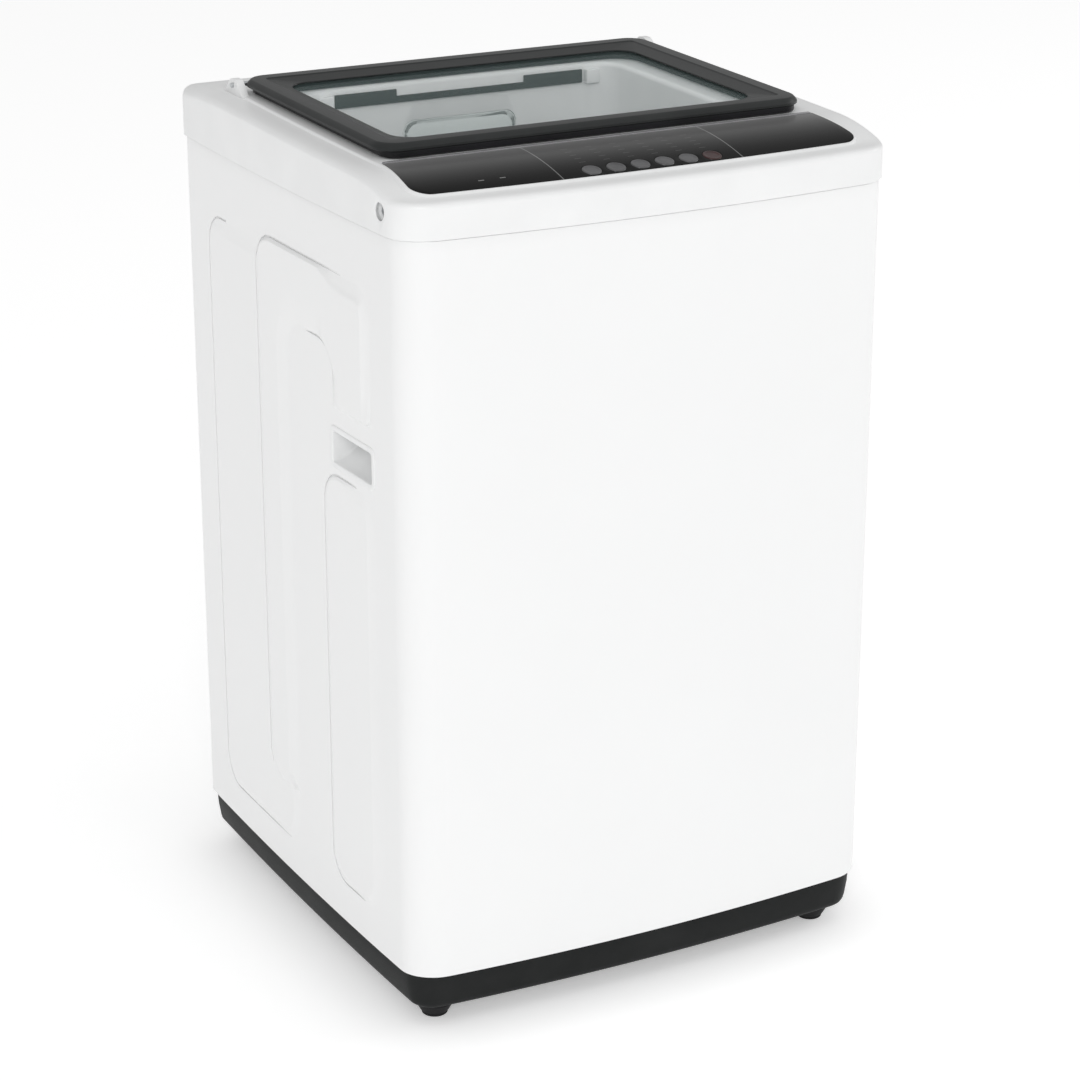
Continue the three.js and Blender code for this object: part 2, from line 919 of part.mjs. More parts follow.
function screwPocket(side) {
  const ends = (near, far) => [near, far].map((x) => x * side).sort((a, b) => a - b);
  const face = halfWidth - sideBow * (screwY / halfDepth) ** 2;
  const floor = face - screwPocketDepth;
  const place = (geometry) => geometry.translate(0, screwY, seam + screwRise);
  return {
    cup: place(
      discAlongX(screwPocketRadius + screwPocketWall, ...ends(floor - screwPocketWall, face - coverWall / 2)),
    ),
    bore: place(discAlongX(screwPocketRadius, ...ends(floor, face + overrun))),
    hole: place(
      discAlongX(screwShankRadius + runningGap, ...ends(floor - overrun, floor + overrun), smallSteps),
    ),
  };
}

function sideScrew(side) {
  const ends = (near, far) => [near, far].map((x) => x * side).sort((a, b) => a - b);
  const face = halfWidth - sideBow * (screwY / halfDepth) ** 2;
  const seat = face - screwPocketDepth + seatGap;
  return join(
    discAlongX(screwHeadRadius, ...ends(seat, seat + screwHeadThickness)),
    discAlongX(screwShankRadius, ...ends(seat - screwShankLength, seat + screwHeadThickness / 2), smallSteps),
  ).translate(0, screwY, seam + screwRise);
}

function hingeEar(side) {
  const inner = lidHalfWidth + hingeEarGap;
  const [low, high] = [inner, inner + hingeEarThickness].map((x) => x * side).sort((a, b) => a - b);
  const foot = skinHeight({ y: hingeY }) - coverWall / 2;
  const block = join(
    discAlongX(hingeEarRadius, low, high).translate(0, hingeY, hingeZ),
    box([low, high], [hingeY - hingeEarRadius, hingeY + hingeEarRadius], [foot, hingeZ]),
  );
  return block;
}

function topCover() {
  const pockets = [-1, 1].map(screwPocket);
  const brackets = [-1, 1].map((side) => {
    const x = side * wallBracketX;
    return box(
      [x - wallBracketWidth / 2, x + wallBracketWidth / 2],
      [openingRear - wallBracketDepth, openingRear + coverWall / 2],
      [seam + wallBracketLow, seam + wallBracketHigh],
    );
  });
  const posts = boardPosts().map(({ x, y }) =>
    disc(
      boardPostRadius,
      seam + boardTopRise + seatGap,
      skinHeight({ y }) - coverWall - panelFloor / 2,
      smallSteps,
    ).translate(x, y, 0),
  );
  const body = join(
    coverSkin(),
    ...pockets.map(({ cup }) => cup),
    ...[-1, 1].map(hingeEar),
    ...brackets,
    ...posts,
  );
  const floor = panelThickness + seatGap;
  const panelBed = skinSlab(overrun, -floor, seatGap, stripRear);
  const stemHoles = buttonPlaces.map((x) =>
    disc(buttonStemRadius + runningGap, seam, seam + deckRearRise, smallSteps).translate(x, buttonY, 0),
  );
  const drawerWay = prismAlongY(
    roundedBox(
      -drawerHalfWidth - runningGap,
      drawerHalfWidth + runningGap,
      openingBottom - 2 * drawerCornerRadius,
      seam + drawerTop + runningGap,
      drawerCornerRadius,
    ),
    openingRear - wallBracketDepth,
    openingRear + coverWall + overrun,
  );
  const valveHole = discAlongY(
    valveNozzleRadius + seatGap,
    halfDepth - coverWall - overrun,
    halfDepth + overrun,
  ).translate(valveX, 0, seam + valveRise);
  const pinHoles = discAlongX(
    hingePinRadius + runningGap,
    -halfWidth,
    halfWidth,
    smallSteps,
  ).translate(0, hingeY, hingeZ);
  return cut(
    body,
    ...pockets.flatMap(({ bore, hole }) => [bore, hole]),
    panelBed,
    ...stemHoles,
    drawerWay,
    valveHole,
    pinHoles,
  );
}

function openingTrim() {
  const outline = [
    [-trimHalfWidth, trimLow],
    [trimHalfWidth, trimLow],
    [trimHalfWidth, trimHigh],
    [trimNotchHalfWidth, trimHigh],
    [trimNotchHalfWidth, trimHigh - trimNotchDepth],
    [-trimNotchHalfWidth, trimHigh - trimNotchDepth],
    [-trimNotchHalfWidth, trimHigh],
    [-trimHalfWidth, trimHigh],
  ].map(([x, rise]) => new THREE.Vector2(x, seam + rise));
  return prismAlongY(outline, openingRear - seatGap - trimThickness, openingRear - seatGap);
}

// Control panel, buttons and board
const buttonPlaces = Array.from({ length: buttonCount }, (_, i) => {
  return buttonShift + buttonPitch * (i - (buttonCount - 1) / 2);
});

function ellipse(x, y, halfLength, halfBreadth, steps) {
  return Array.from({ length: steps }, (_, i) => {
    const angle = (2 * Math.PI * i) / steps;
    return new THREE.Vector2(x + halfLength * Math.cos(angle), y + halfBreadth * Math.sin(angle));
  });
}

function buttonPrism(x, grow, low, high) {
  const outline = ellipse(x, buttonY, buttonHalfLength + grow, buttonHalfWidth + grow, roundSteps);
  return prism(outline, low, high);
}

function controlPanel() {
  const holes = buttonPlaces.map((x) => buttonPrism(x, runningGap, seam, seam + deckRearRise));
  return cut(skinSlab(0, -panelThickness, 0), ...holes);
}

function panelStrip() {
  const behindPanel = box([-halfWidth, halfWidth], [panelRear + seatGap, stripRear + overrun], [seam, hingeZ]);
  return common(skinSlab(stripRise, -panelThickness, 0, stripRear), behindPanel);
}

function panelButton(x) {
  const cap = common(
    skinSlab(buttonProud, -buttonSkirt, 0),
    buttonPrism(x, 0, seam, seam + deckRearRise),
  );
  const stemFoot = seam + boardTopRise + switchHeight + buttonTravel + seatGap;
  const stem = disc(buttonStemRadius, stemFoot, skinHeight({ y: buttonY }) - buttonSkirt / 2, smallSteps);
  return join(cap, stem.translate(x, buttonY, 0));
}

function boardPosts() {
  const x = boardHalfLength - boardPostInset;
  const y = [boardFront + boardPostInset, boardRear - boardPostInset];
  return [-x, x].flatMap((px) => y.map((py) => ({ x: px, y: py })));
}

function controlBoard() {
  const top = seam + boardTopRise;
  const board = box([-boardHalfLength, boardHalfLength], [boardFront, boardRear], [top - boardThickness, top]);
  const switches = buttonPlaces.map((x) =>
    box(
      [x - switchSize / 2, x + switchSize / 2],
      [buttonY - switchSize / 2, buttonY + switchSize / 2],
      [top - boardThickness / 2, top + switchHeight],
    ),
  );
  return join(board, ...switches);
}

// Lid, drawn about its hinge axis
function lidOutline(inset) {
  return planOutline(
    lidHalfWidth - inset,
    lidFront - hingeY + inset,
    lidRearReach - inset,
    Math.max(lidCornerRadius - inset, leastRadius),
    Math.max(lidCornerRadius - inset, leastRadius),
  );
}

function windowOutline(grow) {
  return planOutline(
    lidHalfWidth - lidSideBand + grow,
    lidFront - hingeY + lidFrontBand - grow,
    lidRearReach - lidRearBand + grow,
    lidCornerRadius + grow,
    lidCornerRadius + grow,
  );
}

function flatRing(outline, height) {
  return outline.map(({ x, y }) => new THREE.Vector3(x, y, height));
}

function lowerLidOutline() {
  return planOutline(
    lidHalfWidth - lowerFrameInset,
    lidFront - hingeY,
    lidRearReach - lowerFrameInset,
    lidCornerRadius - lowerFrameInset,
    lidCornerRadius - lowerFrameInset,
  );
}

function lidPinBore() {
  return discAlongX(hingePinRadius + runningGap, -halfWidth, halfWidth, smallSteps);
}

function lidPinReach() {
  const inner = lidHalfWidth - hingePinLength / 2 - seatGap;
  return box([-inner, inner], [-lidHalfThickness, lidHalfThickness], [-lidHalfThickness, lidHalfThickness]);
}

function lidUpperFrame() {
  const top = lidHalfThickness;
  const inner = top - lidStep - lidInnerFall;
  const frame = ringBody([
    flatRing(lidOutline(0), lidSplit),
    flatRing(lidOutline(0), lidSplit + lidLip),
    flatRing(lidOutline(lidBevel / 3), top - lidLip),
    flatRing(lidOutline(lidBevel), top),
    flatRing(lidOutline(lidFlat), top),
    flatRing(lidOutline(lidFlat + lidStep), top - lidStep),
    flatRing(windowOutline(0), inner),
    flatRing(windowOutline(0), inner - seatGap - lidStep),
    flatRing(windowOutline(glassTuck + seatGap), inner - seatGap - lidStep),
    flatRing(windowOutline(glassTuck + seatGap), lidSplit),
  ]);
  return cut(frame, cut(lidPinBore(), lidPinReach()));
}

function lidGlass() {
  const top = lidHalfThickness - 2 * lidStep - lidInnerFall - 2 * seatGap;
  return prism(windowOutline(glassTuck), top - glassThickness, top);
}

function lidLowerFrame() {
  const top = lidSplit - seatGap;
  const low = -lidHalfThickness;
  const glassLow = lidHalfThickness - 2 * lidStep - lidInnerFall - 3 * seatGap - glassThickness;
  const frame = ringBody([
    flatRing(lowerLidOutline(), low),
    flatRing(lowerLidOutline(), top),
    flatRing(windowOutline(glassTuck + 2 * seatGap), top),
    flatRing(windowOutline(glassTuck + 2 * seatGap), glassLow),
    flatRing(windowOutline(glassTuck - lowerFrameLedge), glassLow),
    flatRing(windowOutline(glassTuck - lowerFrameLedge), low),
  ]);
  const bumpers = [-1, 1].map((side) =>
    disc(bumperRadius, low - lidClearance + seatGap, low + lidLip / 2, smallSteps).translate(
      side * (lidHalfWidth - bumperInset),
      lidFront - hingeY + bumperInset,
      0,
    ),
  );
  return cut(join(frame, ...bumpers), cut(lidPinBore(), lidPinReach()));
}

function hingePin() {
  return discAlongX(hingePinRadius, -hingePinLength / 2, hingePinLength / 2, smallSteps);
}

// Detergent drawer and its housing
function drawerFront(grow) {
  return roundedBox(
    -drawerHalfWidth - grow,
    drawerHalfWidth + grow,
    seam + drawerBottom,
    seam + drawerTop,
    drawerCornerRadius,
  );
}

function detergentDrawer() {
  const front = openingRear + seatGap;
  const bodyStart = front + drawerFrontThickness;
  const half = drawerHalfWidth - drawerWall;
  const low = seam + drawerBottom;
  const plate = prismAlongY(drawerFront(0), front, bodyStart);
  const tray = box([-half, half], [front + drawerWall, front + drawerDepth], [low, seam + drawerBodyTop]);
  const hollow = box(
    [drawerWall - half, half - drawerWall],
    [bodyStart + drawerWall, front + drawerDepth - drawerWall],
    [low + drawerWall, seam + drawerTop + overrun],
  );
  const divider = box(
    [-drawerWall / 2, drawerWall / 2],
    [bodyStart, front + drawerDepth - drawerWall],
    [low + drawerWall / 2, seam + drawerBodyTop - drawerWall],
  );
  return join(cut(join(plate, tray), hollow), divider);
}

function drawerHousing() {
  const front = openingRear + coverWall + seatGap;
  const half = drawerHalfWidth + runningGap + housingWall;
  const low = seam + drawerBottom - runningGap - housingWall;
  const high = seam + drawerTop + housingHeadroom;
  const outer = box([-half, half], [front, front + housingDepth], [low, high]);
  const inner = box(
    [housingWall - half, half - housingWall],
    [front - overrun, front + housingDepth - housingWall],
    [low + housingWall, high - housingWall],
  );
  return cut(outer, inner);
}

function inletValve() {
  const outer = halfDepth - seatGap;
  const bodyFront = outer - valveNozzleLength - valveBodyLength;
  const body = box(
    [-valveBodyHalfWidth, valveBodyHalfWidth],
    [bodyFront, outer - valveNozzleLength],
    [-valveBodyHalfHeight, valveBodyHalfHeight],
  );
  const collar = discAlongY(
    valveNozzleRadius + valveCollar,
    outer - valveNozzleLength - overrun,
    halfDepth - coverWall - seatGap,
  );
  return cut(
    join(body, collar, discAlongY(valveNozzleRadius, outer - valveNozzleLength, outer)),
    discAlongY(valveNozzleBore, outer - valveNozzleLength, outer + overrun),
  );
}

// Tub, basket and pulsator
const rodPlaces = [
  { name: "front_left", x: -rodX, y: rodFrontY },
  { name: "front_right", x: rodX, y: rodFrontY },
  { name: "rear_left", x: -rodX, y: rodRearY },
  { name: "rear_right", x: rodX, y: rodRearY },
];
const footPlaces = [
  { name: "front_left", x: -footX, y: footFrontY },
  { name: "front_right", x: footX, y: footFrontY },
  { name: "rear_left", x: -footX, y: footRearY },
  { name: "rear_right", x: footX, y: footRearY },
];

function outerTub() {
  const inner = tubRadius - tubWall;
  const floorTop = tubFloor + tubFloorThickness;
  const drum = turned([
    [tubNeckRadius, tubFloor],
    [tubRadius, tubFloor],
    [tubRadius, tubTop],
    [inner, tubTop],
    [inner, floorTop],
    [tubNeckRadius, floorTop],
  ]);
  const ears = rodPlaces.map(({ x, y }) => {
    const arm = box(
      [tubRadius - tubWall, earLength],
      [-earHalfWidth, earHalfWidth],
      [earBottom, earBottom + earThickness],
    );
    return arm.rotateZ(Math.atan2(y, x));
  });
  const holes = rodPlaces.map(({ x, y }) =>
    disc(rodRadius + runningGap, earBottom - overrun, earBottom + earThickness + overrun, smallSteps).translate(
      x,
      y,
      0,
    ),
  );
  const inside = disc(inner - seatGap, floorTop + seatGap, tubTop + overrun, drumSteps);
  return cut(join(drum, ...ears), inside, ...holes);
}

function tubCover() {
  const plate = tubTop + seatGap;
  const skirt = tubRadius + seatGap;
  const outer = skirt + coverRingThickness;
  const top = plate + coverRingThickness;
  return turned([
    [coverRingInner, plate],
    [skirt, plate],
    [skirt, plate - coverRingSkirt],
    [outer, plate - coverRingSkirt],
    [outer, top],
    [coverRingInner + coverRingThickness, top],
    [coverRingInner + coverRingThickness, top + coverRingLip],
    [coverRingInner, top + coverRingLip],
  ]);
}

function spinBasket() {
  const inner = basketRadius - basketWall;
  const floorTop = basketFloor + basketFloorThickness;
  return turned([
    [washShaftRadius + runningGap, basketFloor],
    [basketRadius - basketFillet, basketFloor],
    [basketRadius, basketFloor + basketFillet],
    [basketRadius, basketTop],
    [inner, basketTop],
    [inner, floorTop + basketFillet],
    [inner - basketFillet, floorTop],
    [washShaftRadius + runningGap, floorTop],
  ]);
}

function balanceRing() {
  const outer = basketRadius - basketWall - seatGap;
  const lip = basketTop + seatGap;
  const low = lip + ringLipHeight - ringHeight;
  const high = lip + ringLipHeight;
  return turned([
    [ringInner + ringRound, low],
    [outer - ringRound, low],
    [outer, low + ringRound],
    [outer, lip],
    [basketRadius + ringLipWidth, lip],
    [basketRadius + ringLipWidth, high - ringRound],
    [basketRadius + ringLipWidth - ringRound, high],
    [ringInner + ringRound, high],
    [ringInner, high - ringRound],
    [ringInner, low + ringRound],
  ]);
}

function lintFilter() {
  const outer = basketRadius - basketWall - seatGap;
  const block = prismAlongY(
    roundedBox(-filterHalfWidth, filterHalfWidth, filterBottom, filterBottom + filterHeight, ringRound),
    outer - filterDepth,
    basketRadius,
  );
  return common(block, disc(outer, filterBottom - overrun, filterBottom + filterHeight + overrun, drumSteps));
}

function pulsator() {
  const under = basketFloor + basketFloorThickness + pulsatorClearance;
  const edge = under + pulsatorEdge;
  const crown = edge + pulsatorDome;
  const plate = turned([
    [0, under],
    [pulsatorRadius, under],
    [pulsatorRadius, edge],
    [pulsatorRadius - pulsatorEdge, edge],
    [pulsatorHubRadius, crown - pulsatorDome / 2],
    [pulsatorHubRadius / 2, crown],
    [0, crown],
  ]);
  const vanes = Array.from({ length: vaneCount }, (_, i) => {
    const profile = [
      new THREE.Vector2(0, edge),
      new THREE.Vector2(vaneReach, under + pulsatorEdge / 2),
      new THREE.Vector2(vaneReach, edge + pulsatorEdge),
      new THREE.Vector2(vaneReach / 2, edge + vaneHeight),
      new THREE.Vector2(0, edge + pulsatorDome / 2),
    ];
    return prismAlongY(profile, -vaneHalfWidth, vaneHalfWidth).rotateZ((2 * Math.PI * i) / vaneCount);
  });
  const bore = disc(washShaftRadius + seatGap, under - overrun, washShaftTop() + seatGap);
  return cut(join(plate, ...vanes), bore);
}

function washShaftTop() {
  return basketFloor + basketFloorThickness + pulsatorClearance + pulsatorEdge + pulsatorDome / 2;
}

function gearboxBoreFloor() {
  return driveTop - gearboxBoreDepth;
}

function washShaft() {
  return disc(washShaftRadius, gearboxBoreFloor() + seatGap, washShaftTop());
}

function spinShaft() {
  const inner = washShaftRadius + runningGap;
  const low = gearboxBoreFloor() + seatGap;
  const top = basketFloor - seatGap;
  return turned(
    [
      [inner, low],
      [spinShaftRadius, low],
      [spinShaftRadius, top - hubThickness],
      [hubRadius, top - hubThickness],
      [hubRadius, top],
      [inner, top],
    ],
    roundSteps,
  );
}

// Drive
function mountingPlate() {
  const left = -gearboxRadius - plateMargin;
  const right = motorOffset + motorRadius;
  const plate = prism(
    roundedBox(left, right, -plateHalfWidth, plateHalfWidth, frontCornerRadius),
    plateTop - plateThickness,
    plateTop,
  );
  return cut(plate, disc(tubNeckRadius, plateTop - overrun, plateTop + overrun));
}

function gearbox() {
  const neck = tubNeckRadius - seatGap;
  const neckTop = tubFloor + neckRise;
  const bore = spinShaftRadius + runningGap;
  const shape = turned(
    [
      [0, gearboxBottom],
      [gearboxRadius - gearboxShoulder, gearboxBottom],
      [gearboxRadius, gearboxBottom + gearboxShoulder],
      [gearboxRadius, driveTop],
      [neck, driveTop],
      [neck, neckTop],
      [0, neckTop],
    ],
    roundSteps,
  );
  return cut(
    shape,
    disc(bore, gearboxBoreFloor(), neckTop + overrun),
    disc(inputShaftRadius + runningGap, gearboxBottom - overrun, gearboxBottom + inputBoreDepth),
  );
}

// Half of a grooved rim: from the foot of the rim, round its edge, to the top of the rim
function groovedRim(radius) {
  const low = pulleyMiddle - pulleyHeight / 2;
  const high = pulleyMiddle + pulleyHeight / 2;
  return [
    [radius, low],
    [radius, pulleyMiddle - grooveHeight / 2],
    [radius - grooveDepth, pulleyMiddle - grooveHeight / 2],
    [radius - grooveDepth, pulleyMiddle + grooveHeight / 2],
    [radius, pulleyMiddle + grooveHeight / 2],
    [radius, high],
  ];
}

function drivePulley() {
  const low = pulleyMiddle - pulleyHeight / 2;
  const high = pulleyMiddle + pulleyHeight / 2;
  const rimInner = drivePulleyRadius - grooveDepth - drivePulleyRim;
  const shaftTop = gearboxBottom + inputShaftReach;
  return turned(
    [
      [0, low],
      [drivePulleyHub, low],
      [drivePulleyHub, pulleyMiddle - drivePulleyWeb / 2],
      [rimInner, pulleyMiddle - drivePulleyWeb / 2],
      [rimInner, low],
      ...groovedRim(drivePulleyRadius),
      [rimInner, high],
      [rimInner, pulleyMiddle + drivePulleyWeb / 2],
      [drivePulleyHub, pulleyMiddle + drivePulleyWeb / 2],
      [drivePulleyHub, high],
      [inputShaftRadius, high],
      [inputShaftRadius, shaftTop],
      [0, shaftTop],
    ],
    roundSteps + smallSteps,
  );
}

function motorBottom() {
  return driveTop - motorHeight;
}

function motorPulley() {
  const shaftTop = motorBottom() + motorShaftReach;
  return turned(
    [
      [0, pulleyMiddle - pulleyHeight / 2],
      ...groovedRim(motorPulleyRadius),
      [motorShaftRadius, pulleyMiddle + pulleyHeight / 2],
      [motorShaftRadius, shaftTop],
      [0, shaftTop],
    ],
    roundSteps,
  );
}

function motorCase() {
  const low = motorBottom();
  const shape = turned(
    [
      [0, low],
      [motorRadius - motorShoulder, low],
      [motorRadius, low + motorShoulder],
      [motorRadius, driveTop - motorShoulder],
      [motorRadius - motorShoulder, driveTop],
      [0, driveTop],
    ],
    roundSteps,
  );
  return cut(shape, disc(motorShaftRadius + runningGap, low - overrun, low + motorShaftReach + seatGap));
}

// The outline of a belt round both pulleys, at a distance out from the foot of their grooves
function beltOutline(out) {
  const driven = drivePulleyRadius - grooveDepth + out;
  const driving = motorPulleyRadius - grooveDepth + out;
  const lean = Math.acos((driven - driving) / motorOffset);
  const wrap = (x, radius, from, to, steps) =>
    Array.from({ length: steps + 1 }, (_, i) => {
      const angle = from + ((to - from) * i) / steps;
      return new THREE.Vector2(x + radius * Math.cos(angle), radius * Math.sin(angle));
    });
  return [
    ...wrap(motorOffset, driving, -lean, lean, beltSteps),
    ...wrap(0, driven, lean, 2 * Math.PI - lean, beltSteps),
  ];
}

function driveBelt() {
  const beltSeat = seatGap;
  const low = pulleyMiddle - beltHeight / 2;
  const high = pulleyMiddle + beltHeight / 2;
  const inner = prism(beltOutline(beltSeat), low - overrun, high + overrun);
  return cut(prism(beltOutline(beltSeat + beltThickness), low, high), inner);
}

function drainValve() {
  const top = tubFloor - seatGap;
  const low = top - drainValveHeight;
  const actuator = box(
    [0, drainActuatorLength],
    [-drainActuatorHalfWidth, drainActuatorHalfWidth],
    [low, low + drainActuatorHeight],
  ).rotateZ(Math.PI / 2);
  const spout = discAlongX(drainBore, -drainActuatorLength, 0).translate(0, 0, low + drainBore);
  return join(disc(drainValveRadius, low, top), actuator, spout);
}

// Suspension
function suspensionRod() {
  const capTop = springBottom - seatGap;
  const seat = bracketTop + seatGap;
  return turned(
    [
      [0, capTop - rodCapThickness],
      [rodCapRadius, capTop - rodCapThickness],
      [rodCapRadius, capTop],
      [rodRadius, capTop],
      [rodRadius, seat],
      [rodHeadRadius, seat],
      [rodHeadRadius, seat + rodHeadRadius / 3],
      [rodHeadRadius / 2, seat + rodHeadRadius],
      [0, seat + rodHeadRadius],
    ],
    smallSteps,
  );
}

function suspensionSpring() {
  return turned(
    [
      [springRadius - springWire, springBottom],
      [springRadius, springBottom],
      [springRadius, springTop],
      [springRadius - springWire, springTop],
    ],
    roundSteps,
  );
}

function cornerBracket({ x, y }) {
  const inset = cabinetFrontInset + sheetThickness + seatGap;
  const sideInset = cabinetSideInset + sheetThickness + seatGap;
  const low = bracketTop - bracketThickness;
  const corner = new THREE.Vector2(Math.sign(x) * halfWidth, Math.sign(y) * halfDepth);
  const triangle = [
    corner,
    new THREE.Vector2(corner.x - Math.sign(x) * bracketLeg, corner.y),
    new THREE.Vector2(corner.x, corner.y - Math.sign(y) * bracketLeg),
  ];
  const ordered = THREE.ShapeUtils.isClockWise(triangle) ? triangle.reverse() : triangle;
  const plate = common(bodyPrism(inset, sideInset, low, bracketTop), prism(ordered, low - overrun, seam));
  const relief = box(
    [-rearPanelHalfWidth - seatGap, rearPanelHalfWidth + seatGap],
    [rearPanelOuter - sheetThickness - seatGap, halfDepth],
    [low - overrun, seam],
  );
  const hole = disc(rodRadius + runningGap, low - overrun, seam, smallSteps).translate(x, y, 0);
  return cut(plate, relief, hole);
}

// Materials
function material(color, roughness, metalness = 0, opacity = 1) {
  return new THREE.MeshStandardMaterial({
    color,
    roughness,
    metalness,
    opacity,
    transparent: opacity < 1,
  });
}

const whiteEnamel = material(0xf3f4f4, 0.25);
const whitePlastic = material(0xf4f5f5, 0.35);
const palePlastic = material(0xdfe4e3, 0.5);
const charcoalPlastic = material(0x3a3b3c, 0.45);
const blackPlastic = material(0x17181a, 0.4);
const blackGloss = material(0x141315, 0.12);
const greyTrim = material(0x9a9b9c, 0.3, 0.6);
const greyButton = material(0x77767a, 0.4);
const redButton = material(0x4a2424, 0.4);
const lidGlassMaterial = material(0xc3cdcb, 0.08, 0, 0.45);
const stainless = material(0xb9bcbf, 0.28, 0.9);
const zincSteel = material(0x9da1a4, 0.4, 0.8);
const castAluminium = material(0xa5a8aa, 0.5, 0.7);
const blackRubber = material(0x1c1c1d, 0.8);
const greenBoard = material(0x2c5a3c, 0.6);
const valvePlastic = material(0xc8c9c4, 0.5);

// Assembly
const machine = new THREE.Group();

function add(name, geometry, look, parent = machine) {
  const body = geometryOf(solidOf(geometry));
  body.computeVertexNormals();
  const mesh = new THREE.Mesh(body, look);
  mesh.name = name;
  parent.add(mesh);
  return mesh;
}

const sides = [
  ["left", -1],
  ["right", 1],
];

add("cabinet_shell", cabinetShell(), whiteEnamel);
add("rear_panel", rearPanel(), zincSteel);
for (const [label, side] of sides) {
  add(`side_handle_${label}`, gripPocket(side), whitePlastic);
}
add("base_plinth", baseTray(), charcoalPlastic);
for (const { name, x, y } of footPlaces) {
  add(`foot_${name}`, foot(), blackPlastic).position.set(x, y, 0);
}
add("drain_outlet", rearFitting(drainRadius, drainBore, drainLength), blackPlastic).position.set(
  drainX,
  0,
  cabinetBottom + drainHeight,
);
add("power_cord_gland", rearFitting(glandRadius, glandBore, glandLength), blackPlastic).position.set(
  glandX,
  0,
  cabinetBottom + glandHeight,
);

add("top_cover", topCover(), whitePlastic);
add("opening_trim", openingTrim(), charcoalPlastic);
for (const [label, side] of sides) {
  add(`side_screw_${label}`, sideScrew(side), zincSteel);
}
add("control_panel", controlPanel(), blackGloss);
add("panel_trim_strip", panelStrip(), greyTrim);
add("control_board", controlBoard(), greenBoard);
const buttonNames = ["program", "water_level", "wash", "rinse", "start", "power"];
buttonPlaces.forEach((x, i) => {
  const look = i === buttonCount - 1 ? redButton : greyButton;
  add(`${buttonNames[i]}_button`, panelButton(x), look);
});

const lid = new THREE.Group();
lid.position.set(0, hingeY, hingeZ);
lid.rotation.x = hingeAngle;
machine.add(lid);
add("lid_upper_frame", lidUpperFrame(), charcoalPlastic, lid);
add("lid_lower_frame", lidLowerFrame(), blackPlastic, lid);
add("lid_glass", lidGlass(), lidGlassMaterial, lid);
for (const [label, side] of sides) {
  add(`hinge_pin_${label}`, hingePin(), zincSteel, lid).position.x = side * lidHalfWidth;
}

add("detergent_drawer", detergentDrawer(), palePlastic);
add("drawer_housing", drawerHousing(), palePlastic);
add("water_inlet_valve", inletValve(), valvePlastic).position.set(valveX, 0, seam + valveRise);

add("outer_tub", outerTub(), palePlastic);
add("tub_cover", tubCover(), whitePlastic);
add("spin_basket", spinBasket(), stainless);
add("balance_ring", balanceRing(), palePlastic);
add("lint_filter", lintFilter(), whitePlastic);
add("pulsator", pulsator(), palePlastic);
add("wash_shaft", washShaft(), stainless);
add("spin_shaft", spinShaft(), stainless);
add("mounting_plate", mountingPlate(), zincSteel);
add("gearbox", gearbox(), castAluminium);
add("drive_pulley", drivePulley(), castAluminium);
add("motor_pulley", motorPulley(), castAluminium).position.x = motorOffset;
add("motor", motorCase(), zincSteel).position.x = motorOffset;
add("drive_belt", driveBelt(), blackRubber);
add("drain_valve", drainValve(), blackPlastic).position.set(
  ...drainValveShares.map((share) => share * tubRadius),
  0,
);

for (const place of rodPlaces) {
  add(`suspension_rod_${place.name}`, suspensionRod(), zincSteel).position.set(place.x, place.y, 0);
  add(`suspension_spring_${place.name}`, suspensionSpring(), zincSteel).position.set(place.x, place.y, 0);
  add(`corner_bracket_${place.name}`, cornerBracket(place), zincSteel);
}

export default machine;
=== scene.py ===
import json
import math

import bpy
import numpy as np
from mathutils import Matrix, Vector


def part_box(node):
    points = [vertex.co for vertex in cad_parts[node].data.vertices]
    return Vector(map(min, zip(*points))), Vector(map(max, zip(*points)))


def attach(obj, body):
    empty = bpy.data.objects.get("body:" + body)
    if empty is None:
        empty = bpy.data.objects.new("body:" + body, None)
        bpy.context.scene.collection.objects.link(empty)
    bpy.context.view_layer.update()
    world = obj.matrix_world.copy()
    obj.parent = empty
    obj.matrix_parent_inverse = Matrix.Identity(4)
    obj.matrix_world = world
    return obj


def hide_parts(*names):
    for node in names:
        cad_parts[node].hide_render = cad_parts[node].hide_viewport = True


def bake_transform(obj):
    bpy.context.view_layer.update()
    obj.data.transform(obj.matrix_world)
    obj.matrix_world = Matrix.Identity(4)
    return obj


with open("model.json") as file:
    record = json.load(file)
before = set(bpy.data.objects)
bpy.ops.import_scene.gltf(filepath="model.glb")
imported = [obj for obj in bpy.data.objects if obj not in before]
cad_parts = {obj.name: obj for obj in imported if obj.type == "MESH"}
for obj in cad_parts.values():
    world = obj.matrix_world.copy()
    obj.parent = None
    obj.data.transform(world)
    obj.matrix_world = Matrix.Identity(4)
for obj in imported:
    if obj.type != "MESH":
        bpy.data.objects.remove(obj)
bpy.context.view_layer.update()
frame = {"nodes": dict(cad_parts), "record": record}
nodes = frame["nodes"]
bodyOf = {node: owner for owner, members in frame["record"]["behaviour"]["bodies"].items() for node in members}
mm = 0.001
print("frame loaded")

camera = {"place": (-1.4093, -2.6386, 1.4832), "azimuth": 28.33, "pitch": 20.03, "lens": 101.57}
studio = {
    "floorSize": 30,
    "floorDrop": 0.0005,
    "floorRough": 0.8,
    "floorShine": 0.1,
    "floorTone": 0.93,
    "floorGlow": 0.3,
    "horizon": 0.45,
    "zenith": 0.76,
    "frontLean": 0.08,
    "aim": (0, 0, 0.5),
    "lights": {
        "frontKey": {"at": (-4.4, -7.6, 4.4), "size": 3.4, "power": 240},
        "rightFill": {"at": (6.0, -1.0, 2.6), "size": 3.0, "power": 60},
    },
}


def fill(node, values):
    for name, value in values.items():
        node.inputs[name].default_value = value


